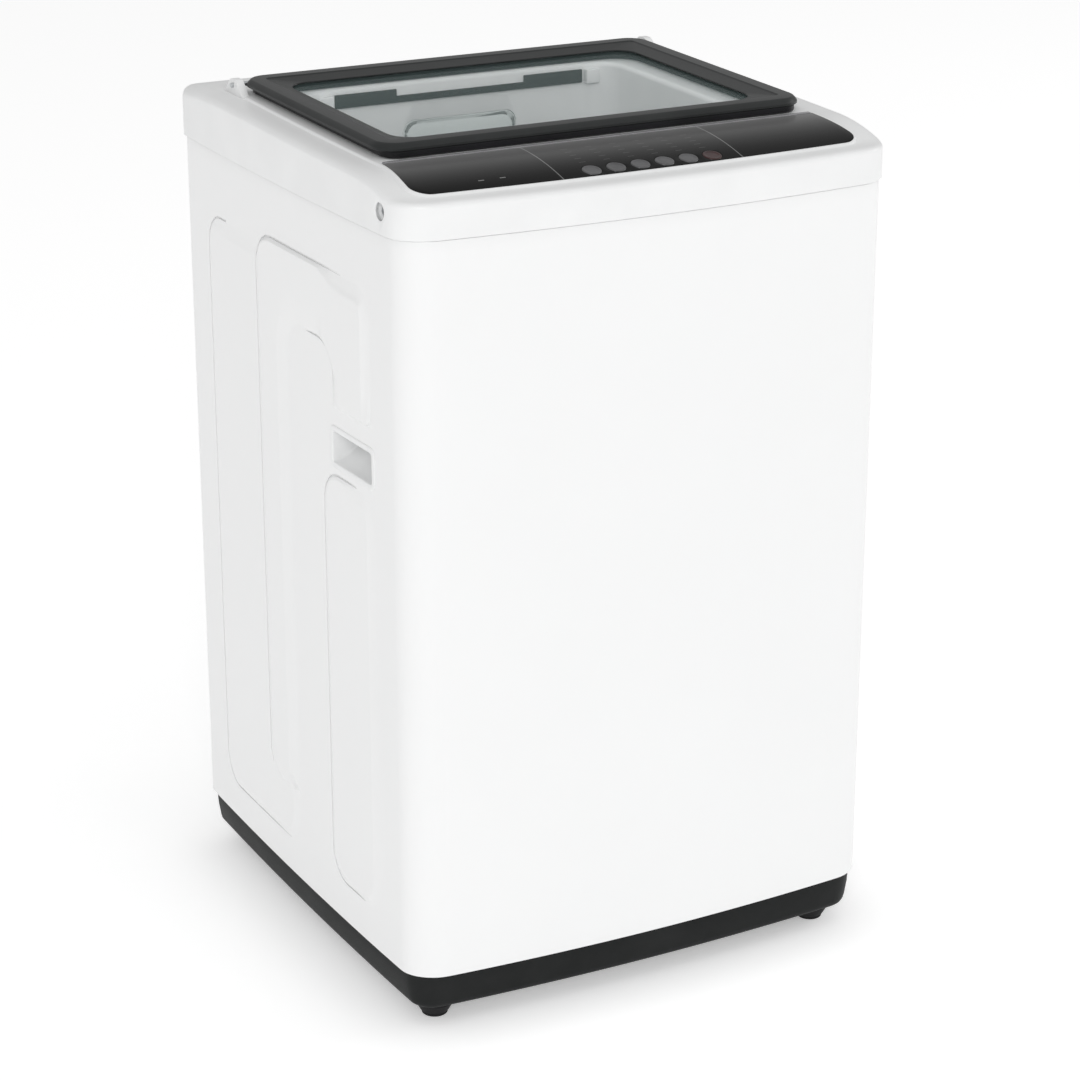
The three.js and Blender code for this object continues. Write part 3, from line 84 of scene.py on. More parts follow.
def placed(name, data):
    made = bpy.data.objects.new(name, data)
    bpy.context.scene.collection.objects.link(made)
    return made


def unit(value):
    return min(max(value, 0), 1)


def ease(value):
    share = unit(value)
    return share * share * (3 - 2 * share)


def makeCamera():
    data = bpy.data.cameras.new("photoCamera")
    data.lens, data.sensor_width = camera["lens"], 36
    data.clip_start, data.clip_end = 0.05, 60
    holder = placed("photoCamera", data)
    holder.location = camera["place"]
    holder.rotation_euler = math.radians(90 - camera["pitch"]), 0, -math.radians(camera["azimuth"])
    bpy.context.scene.camera = holder


def makeStudio():
    bpy.ops.mesh.primitive_plane_add(size=studio["floorSize"], location=(0, 0, -studio["floorDrop"]))
    floor = bpy.context.object
    floor.name = "floor"
    tone = bpy.data.materials.new("paleFloor")
    tone.use_nodes = True
    fill(tone.node_tree.nodes["Principled BSDF"], {
        "Base Color": (studio["floorTone"],) * 3 + (1,),
        "Roughness": studio["floorRough"],
        "Specular IOR Level": studio["floorShine"],
        "Emission Color": (1, 1, 1, 1),
        "Emission Strength": studio["floorGlow"],
    })
    floor.data.materials.append(tone)
    world = bpy.data.worlds.new("studio")
    bpy.context.scene.world = world
    world.use_nodes = True
    parts, links = world.node_tree.nodes, world.node_tree.links
    way = parts.new("ShaderNodeTexCoord")
    split = parts.new("ShaderNodeSeparateXYZ")
    fade = parts.new("ShaderNodeMapRange")
    fill(fade, {"To Min": studio["horizon"], "To Max": studio["zenith"]})
    links.new(way.outputs["Generated"], split.inputs["Vector"])
    links.new(split.outputs["Z"], fade.inputs["Value"])
    lean = parts.new("ShaderNodeMath")
    lean.operation = "MULTIPLY_ADD"
    lean.inputs[1].default_value = -studio["frontLean"]
    links.new(split.outputs["Y"], lean.inputs[0])
    links.new(fade.outputs["Result"], lean.inputs[2])
    links.new(lean.outputs[0], parts["Background"].inputs["Strength"])
    fill(parts["Background"], {"Color": (1, 1, 1, 1)})
    for name, light in studio["lights"].items():
        lamp = bpy.data.lights.new(name, "AREA")
        lamp.size, lamp.energy = light["size"], light["power"]
        holder = placed(name, lamp)
        holder.location = light["at"]
        aim = Vector(studio["aim"]) - Vector(light["at"])
        holder.rotation_euler = aim.to_track_quat("-Z", "Y").to_euler()
    bpy.context.scene.view_settings.view_transform = "Standard"


makeCamera()
makeStudio()
print("camera and studio made")


def camel(slot):
    first, *others = slot.split("_")
    return first + "".join(word.capitalize() for word in others)


def linksOf(material):
    parts = material.node_tree.nodes
    return parts, material.node_tree.links, parts["Principled BSDF"]


surfaceLook = {"lowTone": 0.3, "highTone": 0.7, "roughDrift": 0.15, "cloudDetail": 3, "grainDetail": 2, "depth": 0.0005}


# A finish whose tone, roughness and grain drift over the surface
def finishOf(name, dark, light, rough, metal=0.0, cloud=18.0, grain=900.0, bump=0.05, coat=0.0, stretch=(1, 1, 1)):
    made = bpy.data.materials.new(name)
    made.use_nodes = True
    parts, links, shader = linksOf(made)
    source = parts.new("ShaderNodeTexCoord")
    mapping = parts.new("ShaderNodeMapping")
    fill(mapping, {"Scale": stretch})
    links.new(source.outputs["Object"], mapping.inputs["Vector"])
    drift = parts.new("ShaderNodeTexNoise")
    drift.name = "drift"
    fill(drift, {"Scale": cloud, "Detail": surfaceLook["cloudDetail"]})
    links.new(mapping.outputs["Vector"], drift.inputs["Vector"])
    ramp = parts.new("ShaderNodeValToRGB")
    ramp.name = "tones"
    for stop, place, tone in zip(ramp.color_ramp.elements, ("lowTone", "highTone"), (dark, light)):
        stop.position, stop.color = surfaceLook[place], (*tone, 1)
    links.new(drift.outputs["Fac"], ramp.inputs["Fac"])
    links.new(ramp.outputs["Color"], shader.inputs["Base Color"])
    spread = parts.new("ShaderNodeMapRange")
    apart = surfaceLook["roughDrift"]
    fill(spread, {"To Min": rough * (1 - apart), "To Max": rough * (1 + apart)})
    links.new(drift.outputs["Fac"], spread.inputs["Value"])
    links.new(spread.outputs["Result"], shader.inputs["Roughness"])
    fine = parts.new("ShaderNodeTexNoise")
    fine.name = "fine"
    fill(fine, {"Scale": grain, "Detail": surfaceLook["grainDetail"]})
    links.new(mapping.outputs["Vector"], fine.inputs["Vector"])
    lift = parts.new("ShaderNodeBump")
    lift.name = "lift"
    fill(lift, {"Strength": bump, "Distance": surfaceLook["depth"]})
    links.new(fine.outputs["Fac"], lift.inputs["Height"])
    links.new(lift.outputs["Normal"], shader.inputs["Normal"])
    fill(shader, {"Metallic": metal, "Coat Weight": coat})
    return made


finishes = {}


def addFinish(slot, *tones, **grain):
    finishes[slot] = finishOf(camel(slot), *tones, **grain)


addFinish("white_enamel", (0.85, 0.853, 0.853), (0.86, 0.863, 0.863), 0.3, cloud=6, grain=420, bump=0.03, coat=0.2)
addFinish("zinc_sheet", (0.5, 0.52, 0.53), (0.62, 0.64, 0.65), 0.42, 0.9, 45, 260, 0.05)
addFinish("white_plastic", (0.82, 0.825, 0.825), (0.85, 0.855, 0.855), 0.36, grain=1500, bump=0.05)
addFinish("charcoal_plastic", (0.018, 0.02, 0.02), (0.026, 0.028, 0.028), 0.34, grain=2200, bump=0.1)
addFinish("foot_plastic", (0.012, 0.012, 0.013), (0.018, 0.018, 0.019), 0.6, grain=1200, bump=0.2)
addFinish("black_plastic", (0.01, 0.01, 0.011), (0.017, 0.017, 0.019), 0.38, grain=1800, bump=0.1)
addFinish("grey_trim", (0.3, 0.3, 0.31), (0.38, 0.38, 0.39), 0.3, 0.35, 60, 1200, 0.03)
addFinish("circuit_board", (0.02, 0.1, 0.04), (0.04, 0.15, 0.06), 0.4, grain=700, bump=0.2)
addFinish("grey_button", (0.07, 0.07, 0.073), (0.11, 0.11, 0.114), 0.3, 0.2, 90, 1600, 0.04)
addFinish("red_button", (0.022, 0.004, 0.004), (0.04, 0.007, 0.007), 0.3, 0.1, 90, 1600, 0.04)
addFinish("pale_plastic", (0.7, 0.74, 0.73), (0.77, 0.81, 0.8), 0.4, grain=1300, bump=0.06)
addFinish("valve_plastic", (0.5, 0.51, 0.48), (0.58, 0.59, 0.56), 0.5, grain=900, bump=0.1)
addFinish("stainless", (0.72, 0.73, 0.74), (0.8, 0.81, 0.82), 0.34, 0.6, 30, 300, 0.01, stretch=(1, 1, 10))
addFinish("zinc_steel", (0.44, 0.46, 0.47), (0.6, 0.62, 0.63), 0.34, 1.0, 80, 600, 0.05)
addFinish("cast_aluminium", (0.5, 0.51, 0.52), (0.64, 0.65, 0.66), 0.5, 1.0, 70, 500, 0.3)
addFinish("motor_steel", (0.34, 0.35, 0.36), (0.46, 0.47, 0.48), 0.4, 1.0, 60, 500, 0.08)
addFinish("belt_rubber", (0.014, 0.014, 0.014), (0.024, 0.024, 0.024), 0.7, grain=900, bump=0.3)


# The glossy panel film darkens towards its front edge and has two thin printed lines
panelPrint = {
    "rear": -0.155,
    "front": -0.243,
    "rearTone": 0.19,
    "frontTone": 0.001,
    "lines": (-0.092, 0.101),
    "lineHalf": 0.0006,
    "lineTone": 0.16,
    "fadeMargin": 0.004,
    "fadePower": 2.0,
    "shine": 0.06,
    "markSets": [
        {"tone": 0.05, "X": (-0.057, 0.026, 0.0035, -0.07, 0.086), "Y": (-0.213, 0.009, 0.0005, -0.218, -0.17)},
        {"tone": 0.22, "X": (-0.168, 0.022, 0.003, -0.175, -0.135), "Y": (-0.2235, 0.02, 0.0007, -0.228, -0.219)},
    ],
}


def makePanelFilm():
    film = finishOf("panelFilm", (0.01, 0.01, 0.011), (0.012, 0.012, 0.013), 0.2, grain=300, bump=0.01)
    parts, links, shader = linksOf(film)

    def maths(operation, first, second=None, third=None):
        step = parts.new("ShaderNodeMath")
        step.operation = operation
        for slot, value in enumerate((first, second, third)):
            if isinstance(value, (int, float)):
                step.inputs[slot].default_value = value
            elif value is not None:
                links.new(value, step.inputs[slot])
        return step.outputs[0]

    place = parts.new("ShaderNodeTexCoord")
    split = parts.new("ShaderNodeSeparateXYZ")
    links.new(place.outputs["Object"], split.inputs["Vector"])
    fade = parts.new("ShaderNodeMapRange")
    fill(fade, {"From Min": panelPrint["front"] + panelPrint["fadeMargin"], "From Max": panelPrint["rear"]})
    links.new(split.outputs["Y"], fade.inputs["Value"])
    faded = maths("POWER", fade.outputs["Result"], panelPrint["fadePower"])
    total = maths("MULTIPLY_ADD", faded, panelPrint["rearTone"], panelPrint["frontTone"])
    for x in panelPrint["lines"]:
        near = maths("COMPARE", split.outputs["X"], x, panelPrint["lineHalf"])
        total = maths("MULTIPLY_ADD", near, panelPrint["lineTone"], total)
    for markSet in panelPrint["markSets"]:
        marks = markSet["tone"]
        for axis in ("X", "Y"):
            first, pitch, half, low, high = markSet[axis]
            away = maths("PINGPONG", maths("SUBTRACT", split.outputs[axis], first), pitch / 2)
            within = maths("COMPARE", split.outputs[axis], (low + high) / 2, (high - low) / 2)
            marks = maths("MULTIPLY", maths("MULTIPLY", maths("LESS_THAN", away, half), within), marks)
        total = maths("ADD", total, marks)
    paint = parts.new("ShaderNodeCombineColor")
    for channel in ("Red", "Green", "Blue"):
        links.new(total, paint.inputs[channel])
    links.new(paint.outputs["Color"], shader.inputs["Base Color"])
    fill(shader, {"Specular IOR Level": panelPrint["shine"]})
    return film


glassLook = {"tint": (0.5, 0.7, 0.68), "lift": 0.02, "rough": 0.02, "alpha": 0.075, "bend": 1.5}


def makeGlass():
    tint = glassLook["tint"]
    pane = finishOf("tintedGlass", tint, tuple(c + glassLook["lift"] for c in tint), glassLook["rough"], bump=0.004)
    fill(linksOf(pane)[2], {"Alpha": glassLook["alpha"], "IOR": glassLook["bend"]})
    return pane


addFinish("base_tray", (0.015, 0.016, 0.016), (0.021, 0.022, 0.022), 0.45, grain=1600, bump=0.14)
for dull, level in (("charcoal_plastic", 0.25), ("foot_plastic", 0.1), ("black_plastic", 0.2), ("base_tray", 0.06)):
    fill(linksOf(finishes[dull])[2], {"Specular IOR Level": level})
finishes["panel_gloss"] = makePanelFilm()
finishes["tinted_glass"] = makeGlass()
print("finishes made")


def selectNothing():
    if bpy.context.object and bpy.context.object.mode != "OBJECT":
        bpy.ops.object.mode_set(mode="OBJECT")
    bpy.ops.object.select_all(action="DESELECT")


def takeUp(piece):
    selectNothing()
    piece.select_set(True)
    bpy.context.view_layer.objects.active = piece


def smooth(piece, angle=32):
    takeUp(piece)
    bpy.ops.object.shade_smooth_by_angle(angle=math.radians(angle))
    return piece


def applyAll(piece):
    takeUp(piece)
    for modifier in list(piece.modifiers):
        bpy.ops.object.modifier_apply(modifier=modifier.name)
    return piece


def soften(piece, width, segments=2, angle=35):
    bevel = piece.modifiers.new("softEdge", "BEVEL")
    bevel.width, bevel.segments, bevel.limit_method = width * mm, segments, "ANGLE"
    bevel.angle_limit = math.radians(angle)
    bevel.harden_normals = False
    return applyAll(piece)


# A grid is added and its lines are moved to the given rows of points, in millimetres
def surface(name, rows, ring=True, tube=False, poles=False):
    rows = [[tuple(p) for p in row] for row in rows]
    if poles:
        middle = [tuple(np.mean(np.array(row), axis=0)) for row in (rows[0], rows[-1])]
        rows = [[middle[0]] * len(rows[0])] + rows + [[middle[1]] * len(rows[0])]
    if ring:
        rows = [row + row[:1] for row in rows]
    if tube:
        rows = rows + rows[:1]
    down, across = len(rows) - 1, len(rows[0]) - 1
    selectNothing()
    bpy.ops.mesh.primitive_grid_add(x_subdivisions=across, y_subdivisions=down, size=2)
    piece = bpy.context.object
    piece.name = name
    count = len(piece.data.vertices)
    flat = np.zeros(count * 3, np.float32)
    piece.data.vertices.foreach_get("co", flat)
    flat = flat.reshape(-1, 3)
    column = np.rint((flat[:, 0] + 1) / 2 * across).astype(int)
    line = np.rint((flat[:, 1] + 1) / 2 * down).astype(int)
    points = np.array(rows, np.float32) * mm
    piece.data.vertices.foreach_set("co", points[line, column].ravel())
    piece.data.update()
    bpy.ops.object.mode_set(mode="EDIT")
    bpy.ops.mesh.select_all(action="SELECT")
    bpy.ops.mesh.remove_doubles(threshold=2e-6)
    bpy.ops.mesh.normals_make_consistent(inside=False)
    bpy.ops.object.mode_set(mode="OBJECT")
    return piece


def turned(name, profile, steps=64, centre=(0, 0), axis="Z", start=0.0, tube=True):
    rows = []
    for radius, height in profile:
        row = []
        for i in range(steps):
            angle = start + 2 * math.pi * i / steps
            a, b = radius * math.cos(angle), radius * math.sin(angle)
            if axis == "Z":
                row.append((centre[0] + a, centre[1] + b, height))
            elif axis == "X":
                row.append((height, centre[0] + a, centre[1] + b))
            else:
                row.append((centre[0] + a, height, centre[1] + b))
        rows.append(row)
    return surface(name, rows, tube=tube)


def block(name, low, high, edge=0.8, segments=2):
    selectNothing()
    size = [(b - a) * mm for a, b in zip(low, high)]
    middle = [(a + b) / 2 * mm for a, b in zip(low, high)]
    bpy.ops.mesh.primitive_cube_add(size=1, location=middle, scale=size)
    piece = bpy.context.object
    piece.name = name
    bpy.ops.object.transform_apply(location=True, rotation=True, scale=True)
    return soften(piece, edge, segments) if edge else piece


def cutWith(piece, *tools):
    for tool in tools:
        knife = piece.modifiers.new("cut", "BOOLEAN")
        knife.operation, knife.solver, knife.object = "DIFFERENCE", "EXACT", tool
        applyAll(piece)
        bpy.data.objects.remove(tool)
    return piece


def joined(name, first, *others):
    takeUp(first)
    for other in others:
        other.select_set(True)
    bpy.ops.object.join()
    first.name = name
    return first


def finishPiece(piece, owner, slot, *stoodFor, angle=32, look=None):
    smooth(piece, angle)
    piece.data.materials.clear()
    piece.data.materials.append(finishes[look or slot])
    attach(piece, owner)
    if stoodFor:
        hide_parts(*stoodFor)
    return piece


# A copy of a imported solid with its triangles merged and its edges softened
def refined(nodeName, slot, width):
    selectNothing()
    piece = placed(camel(nodeName), nodes[nodeName].data.copy())
    takeUp(piece)
    bpy.ops.mesh.customdata_custom_splitnormals_clear()
    bpy.ops.object.mode_set(mode="EDIT")
    bpy.ops.mesh.select_all(action="SELECT")
    bpy.ops.mesh.remove_doubles(threshold=1e-5)
    bpy.ops.mesh.dissolve_limited(angle_limit=math.radians(0.4))
    bpy.ops.object.mode_set(mode="OBJECT")
    soften(piece, width, angle=40)
    return finishPiece(piece, bodyOf[nodeName], slot, nodeName)


# The plan of the machine
body = {
    "half": 270,
    "frontBow": 14,
    "sideBow": 5,
    "evenWithin": 100,
    "frontRadius": 36,
    "rearRadius": 18,
    "bottom": 60,
    "seam": 800,
}


def arc(x, y, radius, firstTurn, steps):
    turns = [(firstTurn + i / steps) * math.pi / 2 for i in range(steps + 1)]
    return [(x + radius * math.cos(t), y + radius * math.sin(t)) for t in turns]


sideRun = [0.02 * i for i in range(1, 10)] + [0.18 + 0.082 * i for i in range(1, 10)]


def plan(half, front, back, frontRadius, rearRadius, cornerSteps=8, frontSteps=24, backSteps=12, sides=None):
    run = sides or sideRun
    corners = [
        arc(half - frontRadius, front + frontRadius, frontRadius, 3, cornerSteps),
        arc(half - rearRadius, back - rearRadius, rearRadius, 0, cornerSteps),
        arc(-half + rearRadius, back - rearRadius, rearRadius, 1, cornerSteps),
        arc(-half + frontRadius, front + frontRadius, frontRadius, 2, cornerSteps),
    ]
    runs = [
        run,
        [i / backSteps for i in range(1, backSteps)],
        [1 - share for share in reversed(run)],
        [i / frontSteps for i in range(1, frontSteps)],
    ]
    points = []
    for i, corner in enumerate(corners):
        points += corner
        (ax, ay), (bx, by) = corner[-1], corners[(i + 1) % 4][0]
        points += [(ax + (bx - ax) * share, ay + (by - ay) * share) for share in runs[i]]
    return points


def bodyPlan(inset, sideInset=None, **steps):
    half = body["half"]
    side = inset if sideInset is None else sideInset
    return plan(
        half - side,
        inset - half,
        half - inset,
        max(body["frontRadius"] - inset, 4),
        max(body["rearRadius"] - inset, 4),
        **steps,
    )


def roundedOutline(half, low, high, radius, steps=8):
    return (
        arc(half - radius, low + radius, radius, 3, steps)
        + arc(half - radius, high - radius, radius, 0, steps)
        + arc(-half + radius, high - radius, radius, 1, steps)
        + arc(-half + radius, low + radius, radius, 2, steps)
    )


panelPlace = {"rear": -155, "front": -243, "drop": 11, "rearHalf": 236, "frontHalf": 243, "corner": 20}
deck = {"frontRise": 50, "rearRise": 56, "hingeY": 178, "lidFront": -148}


def swell(x, y):
    share = max(0, (panelPlace["rear"] - y) / (panelPlace["rear"] + body["half"]))
    bowed = y + body["frontBow"] * share * (x / body["half"]) ** 2
    pull = min(max(x / body["evenWithin"], -1), 1)
    return x - pull * body["sideBow"] * (y / body["half"]) ** 2, bowed


def skinHeight(y):
    slope = (deck["rearRise"] - deck["frontRise"]) / (deck["hingeY"] - deck["lidFront"])
    run = panelPlace["rear"] - panelPlace["front"]
    share = unit((panelPlace["rear"] - y) / run)
    return body["seam"] + deck["rearRise"] + (y - deck["hingeY"]) * slope - panelPlace["drop"] * share**2


def ringOf(outline, heightOf):
    row = []
    for x, y in outline:
        sx, sy = swell(x, y)
        row.append((sx, sy, heightOf(x, y) if callable(heightOf) else heightOf))
    return row


def between(first, second, share):
    return [(a + (c - a) * share, b + (d - b) * share) for (a, b), (c, d) in zip(first, second)]


# Cabinet walls with the pressed fields of the sides; heights are above the base
cabinet = {
    "frontInset": 1,
    "sideInset": 3,
    "sheet": 2.6,
    "lowRise": 1.4,
    "archRise": 2.85,
    "rearSlope": 6,
    "topSlope": 2.4,
    "softSlope": 22,
    "fades": {"rear": 190, "loop": 60, "arch": 105, "hollow": 60, "under": 40},
    "fadeRun": 20,
    "softMargin": 30,
    "depthRun": 2,
    "foldWidth": 2.2,
    "foldDepth": 2,
    "foldTaper": 3,
    "foldSteps": {"top": 8, "bend": 9, "upright": 28, "bottom": 6},
    "folds": {
        "rear": (1, 1, 150, 28, 0),
        "loop": (1, 1, -150, -150, 0),
        "arch": (1, 1, -125, 0, 112),
        "hollow": (-1, -1, -42, 0, 556),
    },
    "fine": 1.8,
    "rear": (0, 199, 41, 671, 32),
    "loop": (-191, -79, 45, 478, 32),
    "arch": (-187, 70, 98, 681, 32),
    "hollow": (-104.8, 0.6, 20, 610, 34),
    "under": (-230, -73, -40, 548, 10),
    "grip": (-186, -99, 490, 525),
    "window": (236, 30, 710),
    "fineRuns": [(-191, -155), (-111, -72), (-33, 75), (167, 204)],
    "fineLevels": [(36, 77), (94, 130), (446, 483), (538, 552), (576, 610), (639, 686)],
}


def farFrom(field, y, z):
    front, rear, low, high, radius = field
    a = abs(y - (front + rear) / 2) - (rear - front) / 2 + radius
    b = abs(z - (low + high) / 2) - (high - low) / 2 + radius
    return math.hypot(max(a, 0), max(b, 0)) + min(max(a, b), 0) - radius


# Edges that face the rear slope gently, those that face the front are softer still,
# and a top edge is steep until it fades toward the front
def pressRise(y, z):
    def ramp(value):
        return unit(value / cabinet["fadeRun"])

    def mix(first, second, share):
        return first + (second - first) * share

    def edge(name, sign):
        field = cabinet[name]
        depth = y - field[0] if sign > 0 else field[1] - y
        top = ramp(z - field[3] + cabinet["softMargin"])
        late = ramp((cabinet["fades"][name] - depth) / cabinet["depthRun"])
        soft = max(ramp(cabinet["softMargin"] - depth), top * late)
        return sign * farFrom(field, y, z), soft, top

    def step(distance, soft, top):
        slope = mix(mix(cabinet["rearSlope"], cabinet["topSlope"], top), cabinet["softSlope"], soft)
        return unit(-distance / slope)

    low = min(edge("rear", 1), edge("loop", 1))
    arch = max(edge("arch", 1), edge("hollow", -1), edge("under", -1))
    return max(cabinet["lowRise"] * step(*low), cabinet["archRise"] * step(*arch))


# Points round a field's rear or front edge, each with its way out of the field
def foldLine(field, turn, top, bottom, until):
    near, far, low, high, radius = field
    steps = cabinet["foldSteps"]
    centre = far - radius if turn > 0 else near + radius

    def bend(middle, first, last):
        for degrees in np.linspace(first, last, steps["bend"]):
            a = math.radians(degrees)
            yield centre + turn * radius * math.cos(a), middle + radius * math.sin(a), turn * math.cos(a), math.sin(a)

    line = [(y, high, 0, 1) for y in np.linspace(top, centre, steps["top"])[:-1]]
    line += bend(high - radius, 90, 0)
    uprights = np.linspace(high - radius, low + radius, steps["upright"])[1:-1]
    line += [(centre + turn * radius, z, turn, 0) for z in uprights]
    line += bend(low + radius, 0, -90)
    line += [(y, low, 0, -1) for y in np.linspace(centre, bottom, steps["bottom"])[1:]]
    return [point for point in line if point[1] > until]


# Cutters for the fine folds at the foot of the pressed edges
def makeFolds():
    width, depth = cabinet["foldWidth"], cabinet["foldDepth"]
    wall = body["half"] - cabinet["sideInset"]
    run = cabinet["foldTaper"]
    cutters = []
    for name, (turn, outward, *ends) in cabinet["folds"].items():
        line = foldLine(cabinet[name], turn, *ends)
        for side in (-1, 1):
            rows = []
            for i, (y, z, wayY, wayZ) in enumerate(line):
                taper = min(1, (i + 0.4) / run, (len(line) - i - 0.6) / run)
                half = outward * width / 2
                floor = pressRise(y + wayY * half, z + wayZ * half) - depth * taper
                row = []
                for across, sunk in ((-1, False), (1, False), (1, True), (-1, True)):
                    reach = half + across * width / 2
                    sx, sy = swell(side * wall, y + wayY * reach)
                    x = sx + side * floor if sunk else side * (body["half"] + 5)
                    row.append((x, sy, body["bottom"] + z + wayZ * reach))
                rows.append(row)
            cutters.append(surface("fold", rows, poles=True))
    return joined("folds", *cutters)


# Lines close together over the fine stretches and about wide apart elsewhere
def lineUp(start, end, stretches, fine, wide):
    places, at = [], start
    for low, high in list(stretches) + [(end, end)]:
        for until, gap in ((low, wide), (high, fine)):
            count = max(1, round((until - at) / gap)) if until > at else 0
            places += [at + (until - at) * i / count for i in range(count)]
            at = until
    return places + [end]


def makeCabinet():
    half, fine = body["half"], cabinet["fine"]
    front, rear = body["frontRadius"] - half, half - body["rearRadius"]
    ys = lineUp(front, rear, cabinet["fineRuns"], fine, 10)
    zs = lineUp(2, 738, cabinet["fineLevels"], fine, 12)
    shares = [(y - front) / (rear - front) for y in ys[1:-1]]
    steps = {"sides": shares, "cornerSteps": 10}
    low, high = body["bottom"], body["seam"]
    outline = bodyPlan(cabinet["frontInset"], cabinet["sideInset"], **steps)

    def level(z, inset=0.0):
        row = []
        inner = bodyPlan(cabinet["frontInset"] + inset, cabinet["sideInset"] + inset, **steps)
        for (x, y), (px, py) in zip(outline, inner):
            sx, sy = swell(px, py)
            onSide = abs(abs(x) - half + cabinet["sideInset"]) < 0.01
            rise = pressRise(y, z) if onSide and not inset else 0
            row.append((sx + math.copysign(rise, x), sy, low + z))
        return row

    tall, sheet = high - low, cabinet["sheet"]
    rows = [level(0, 21), level(0, 1.5), level(0.4, 0.5)] + [level(z) for z in zs]
    rows += [level(tall - 0.4, 0.5), level(tall, 1.5), level(tall, 14), level(tall - sheet, 14)]
    rows += [level(z, sheet) for z in (tall - sheet, tall / 2, sheet)] + [level(sheet, 21)]
    shell = surface("cabinetShell", rows, tube=True)
    gripFront, gripRear, gripLow, gripHigh = cabinet["grip"]
    tools = []
    for side in (-1, 1):
        ends = sorted((side * 240, side * 285))
        corners = (ends[0], gripFront, low + gripLow), (ends[1], gripRear, low + gripHigh)
        tools.append(block("gripHole", *corners, 5, 3))
    halfWindow, windowLow, windowHigh = cabinet["window"]
    corners = (-halfWindow, 240, low + windowLow), (halfWindow, 290, low + windowHigh)
    tools.append(block("rearWindow", *corners, 4, 3))
    cutWith(shell, *tools, makeFolds())
    return finishPiece(shell, "cabinet", "white_enamel", "cabinet_shell", angle=35)


# Grip pockets: a rounded rim and a scoop that is deepest under its upper edge
grip = {
    "front": -186,
    "rear": -99,
    "low": 550,
    "high": 585,
    "corner": 5,
    "rim": [
        (4, 0.1), (4, -0.35), (3.7, -0.75), (3.1, -0.98), (2.2, -1.0),
        (-0.9, -1.0), (-1.6, -0.8), (-2, -0.3), (-2, 0.6),
    ],
    "scoop": [(3, 0.1), (6, 0.5), (10, 1.6), (16, 4.8), (22, 8.6), (28, 12.7), (31.6, 16.5), (33.4, 21), (34, 25)],
    "back": 36,
}


def makeGrips():
    for side, label in ((-1, "Left"), (1, "Right")):
        def loop(grow, depth, lift=0.0):
            radius = max(grip["corner"] + grow, 1.2)
            front, rear = grip["front"] - grow, grip["rear"] + grow
            low, high = grip["low"] - grow + lift, grip["high"] + grow
            middle, half = (front + rear) / 2, (rear - front) / 2
            row = []
            for y, z in roundedOutline(half, low, high, min(radius, (high - low) / 2 - 0.1), 6):
                bow = body["sideBow"] * ((y + middle) / body["half"]) ** 2
                row.append((side * (body["half"] - cabinet["sideInset"] - depth - bow), y + middle, z))
            return row

        rows = [loop(-2, depth, lift) for depth, lift in reversed(grip["scoop"])]
        rows += [loop(grow, depth) for grow, depth in reversed(grip["rim"])]
        rows += [loop(-0.3, 0.1), loop(-0.3, grip["back"] - 1), loop(-1, grip["back"])]
        pocket = surface("gripPocket" + label, rows, poles=True)
        finishPiece(pocket, "cabinet", "white_plastic", "side_handle_" + label.lower(), angle=40)


makeCabinet()
makeGrips()
print("cabinet made")

# Base tray and levelling feet
base = {"inset": 8, "taper": 3, "low": 20, "high": 59.7, "wall": 4, "deck": 52, "deckThickness": 5}
foot = {
    "places": {
        "foot_front_left": (-222, -215),
        "foot_front_right": (222, -215),
        "foot_rear_left": (-222, 222),
        "foot_rear_right": (222, 222),
    },
    "profile": [
        (0, 0), (12.4, 0), (13, 0.6), (13.2, 3), (14.5, 4.2), (19.2, 12.4), (20, 13.4),
        (20, 18.9), (19.2, 19.7), (5, 19.7), (5, 54), (4.2, 54), (0, 54),
    ],
}


def makeBase():
    high, under = base["high"], base["high"] - base["deckThickness"]
    profile = [
        (1.4, high), (0, high - 1.2), (0, 52), (0.6, 44), (base["taper"], 29), (4, 25.4), (6, 22.4), (8.6, 20.6),
        (11.5, base["low"]), (12.2, 20.5), (8, 26), (base["wall"], under), (base["deck"], under), (base["deck"], high),
    ]
    tray = surface("baseTray", [ringOf(bodyPlan(base["inset"] + out), z) for out, z in profile], tube=True)
    finishPiece(tray, "cabinet", "charcoal_plastic", "base_plinth", angle=38, look="base_tray")
    for name, (x, y) in foot["places"].items():
        sole = turned(name.replace("_", ""), foot["profile"], 48, (x, y), tube=False)
        finishPiece(sole, bodyOf[name], "foot_plastic", name, angle=30)


makeBase()
print("base made")

# Top cover: wall, rounded shoulder, a raised platform round lid and panel, and the loading mouth
cover = {
    "wall": 3,
    "bottomGap": 0.3,
    "shoulder": [(0, 7.6), (0.15, 6.2), (0.6, 5.0), (1.4, 4.0), (2.5, 3.2), (4, 2.6), (6, 2.25), (9, 2.05)],
    "rearFall": 8.5,
    "rearSpread": 1.1,
    "platformHalf": 240.5,
    "platformFrontHalf": 247,
    "platformFront": -246.5,
    "platformRear": 204,
    "platformRadii": (24, 16),
    "platformRise": 2,
    "mouth": (176, -112, 150, 30),
    "web": 4.5,
    "mouthEdge": 5,
    "mouthFloor": 772,
}


def sweepAt(y):
    return ease((panelPlace["rear"] - y) / (panelPlace["rear"] - panelPlace["front"]))


def platformPlan(grow):
    half, front, rear = cover["platformHalf"], cover["platformFront"], cover["platformRear"]
    flat = plan(half + grow, front - grow, rear + grow, *(radius + grow for radius in cover["platformRadii"]))
    wider = cover["platformFrontHalf"] - half
    return [(x * (1 + wider * sweepAt(y) / half), y) for x, y in flat]


def mouthPlan(grow):
    half, front, back, radius = cover["mouth"]
    return plan(half + grow, front - grow, back + grow, radius + grow, radius + grow)


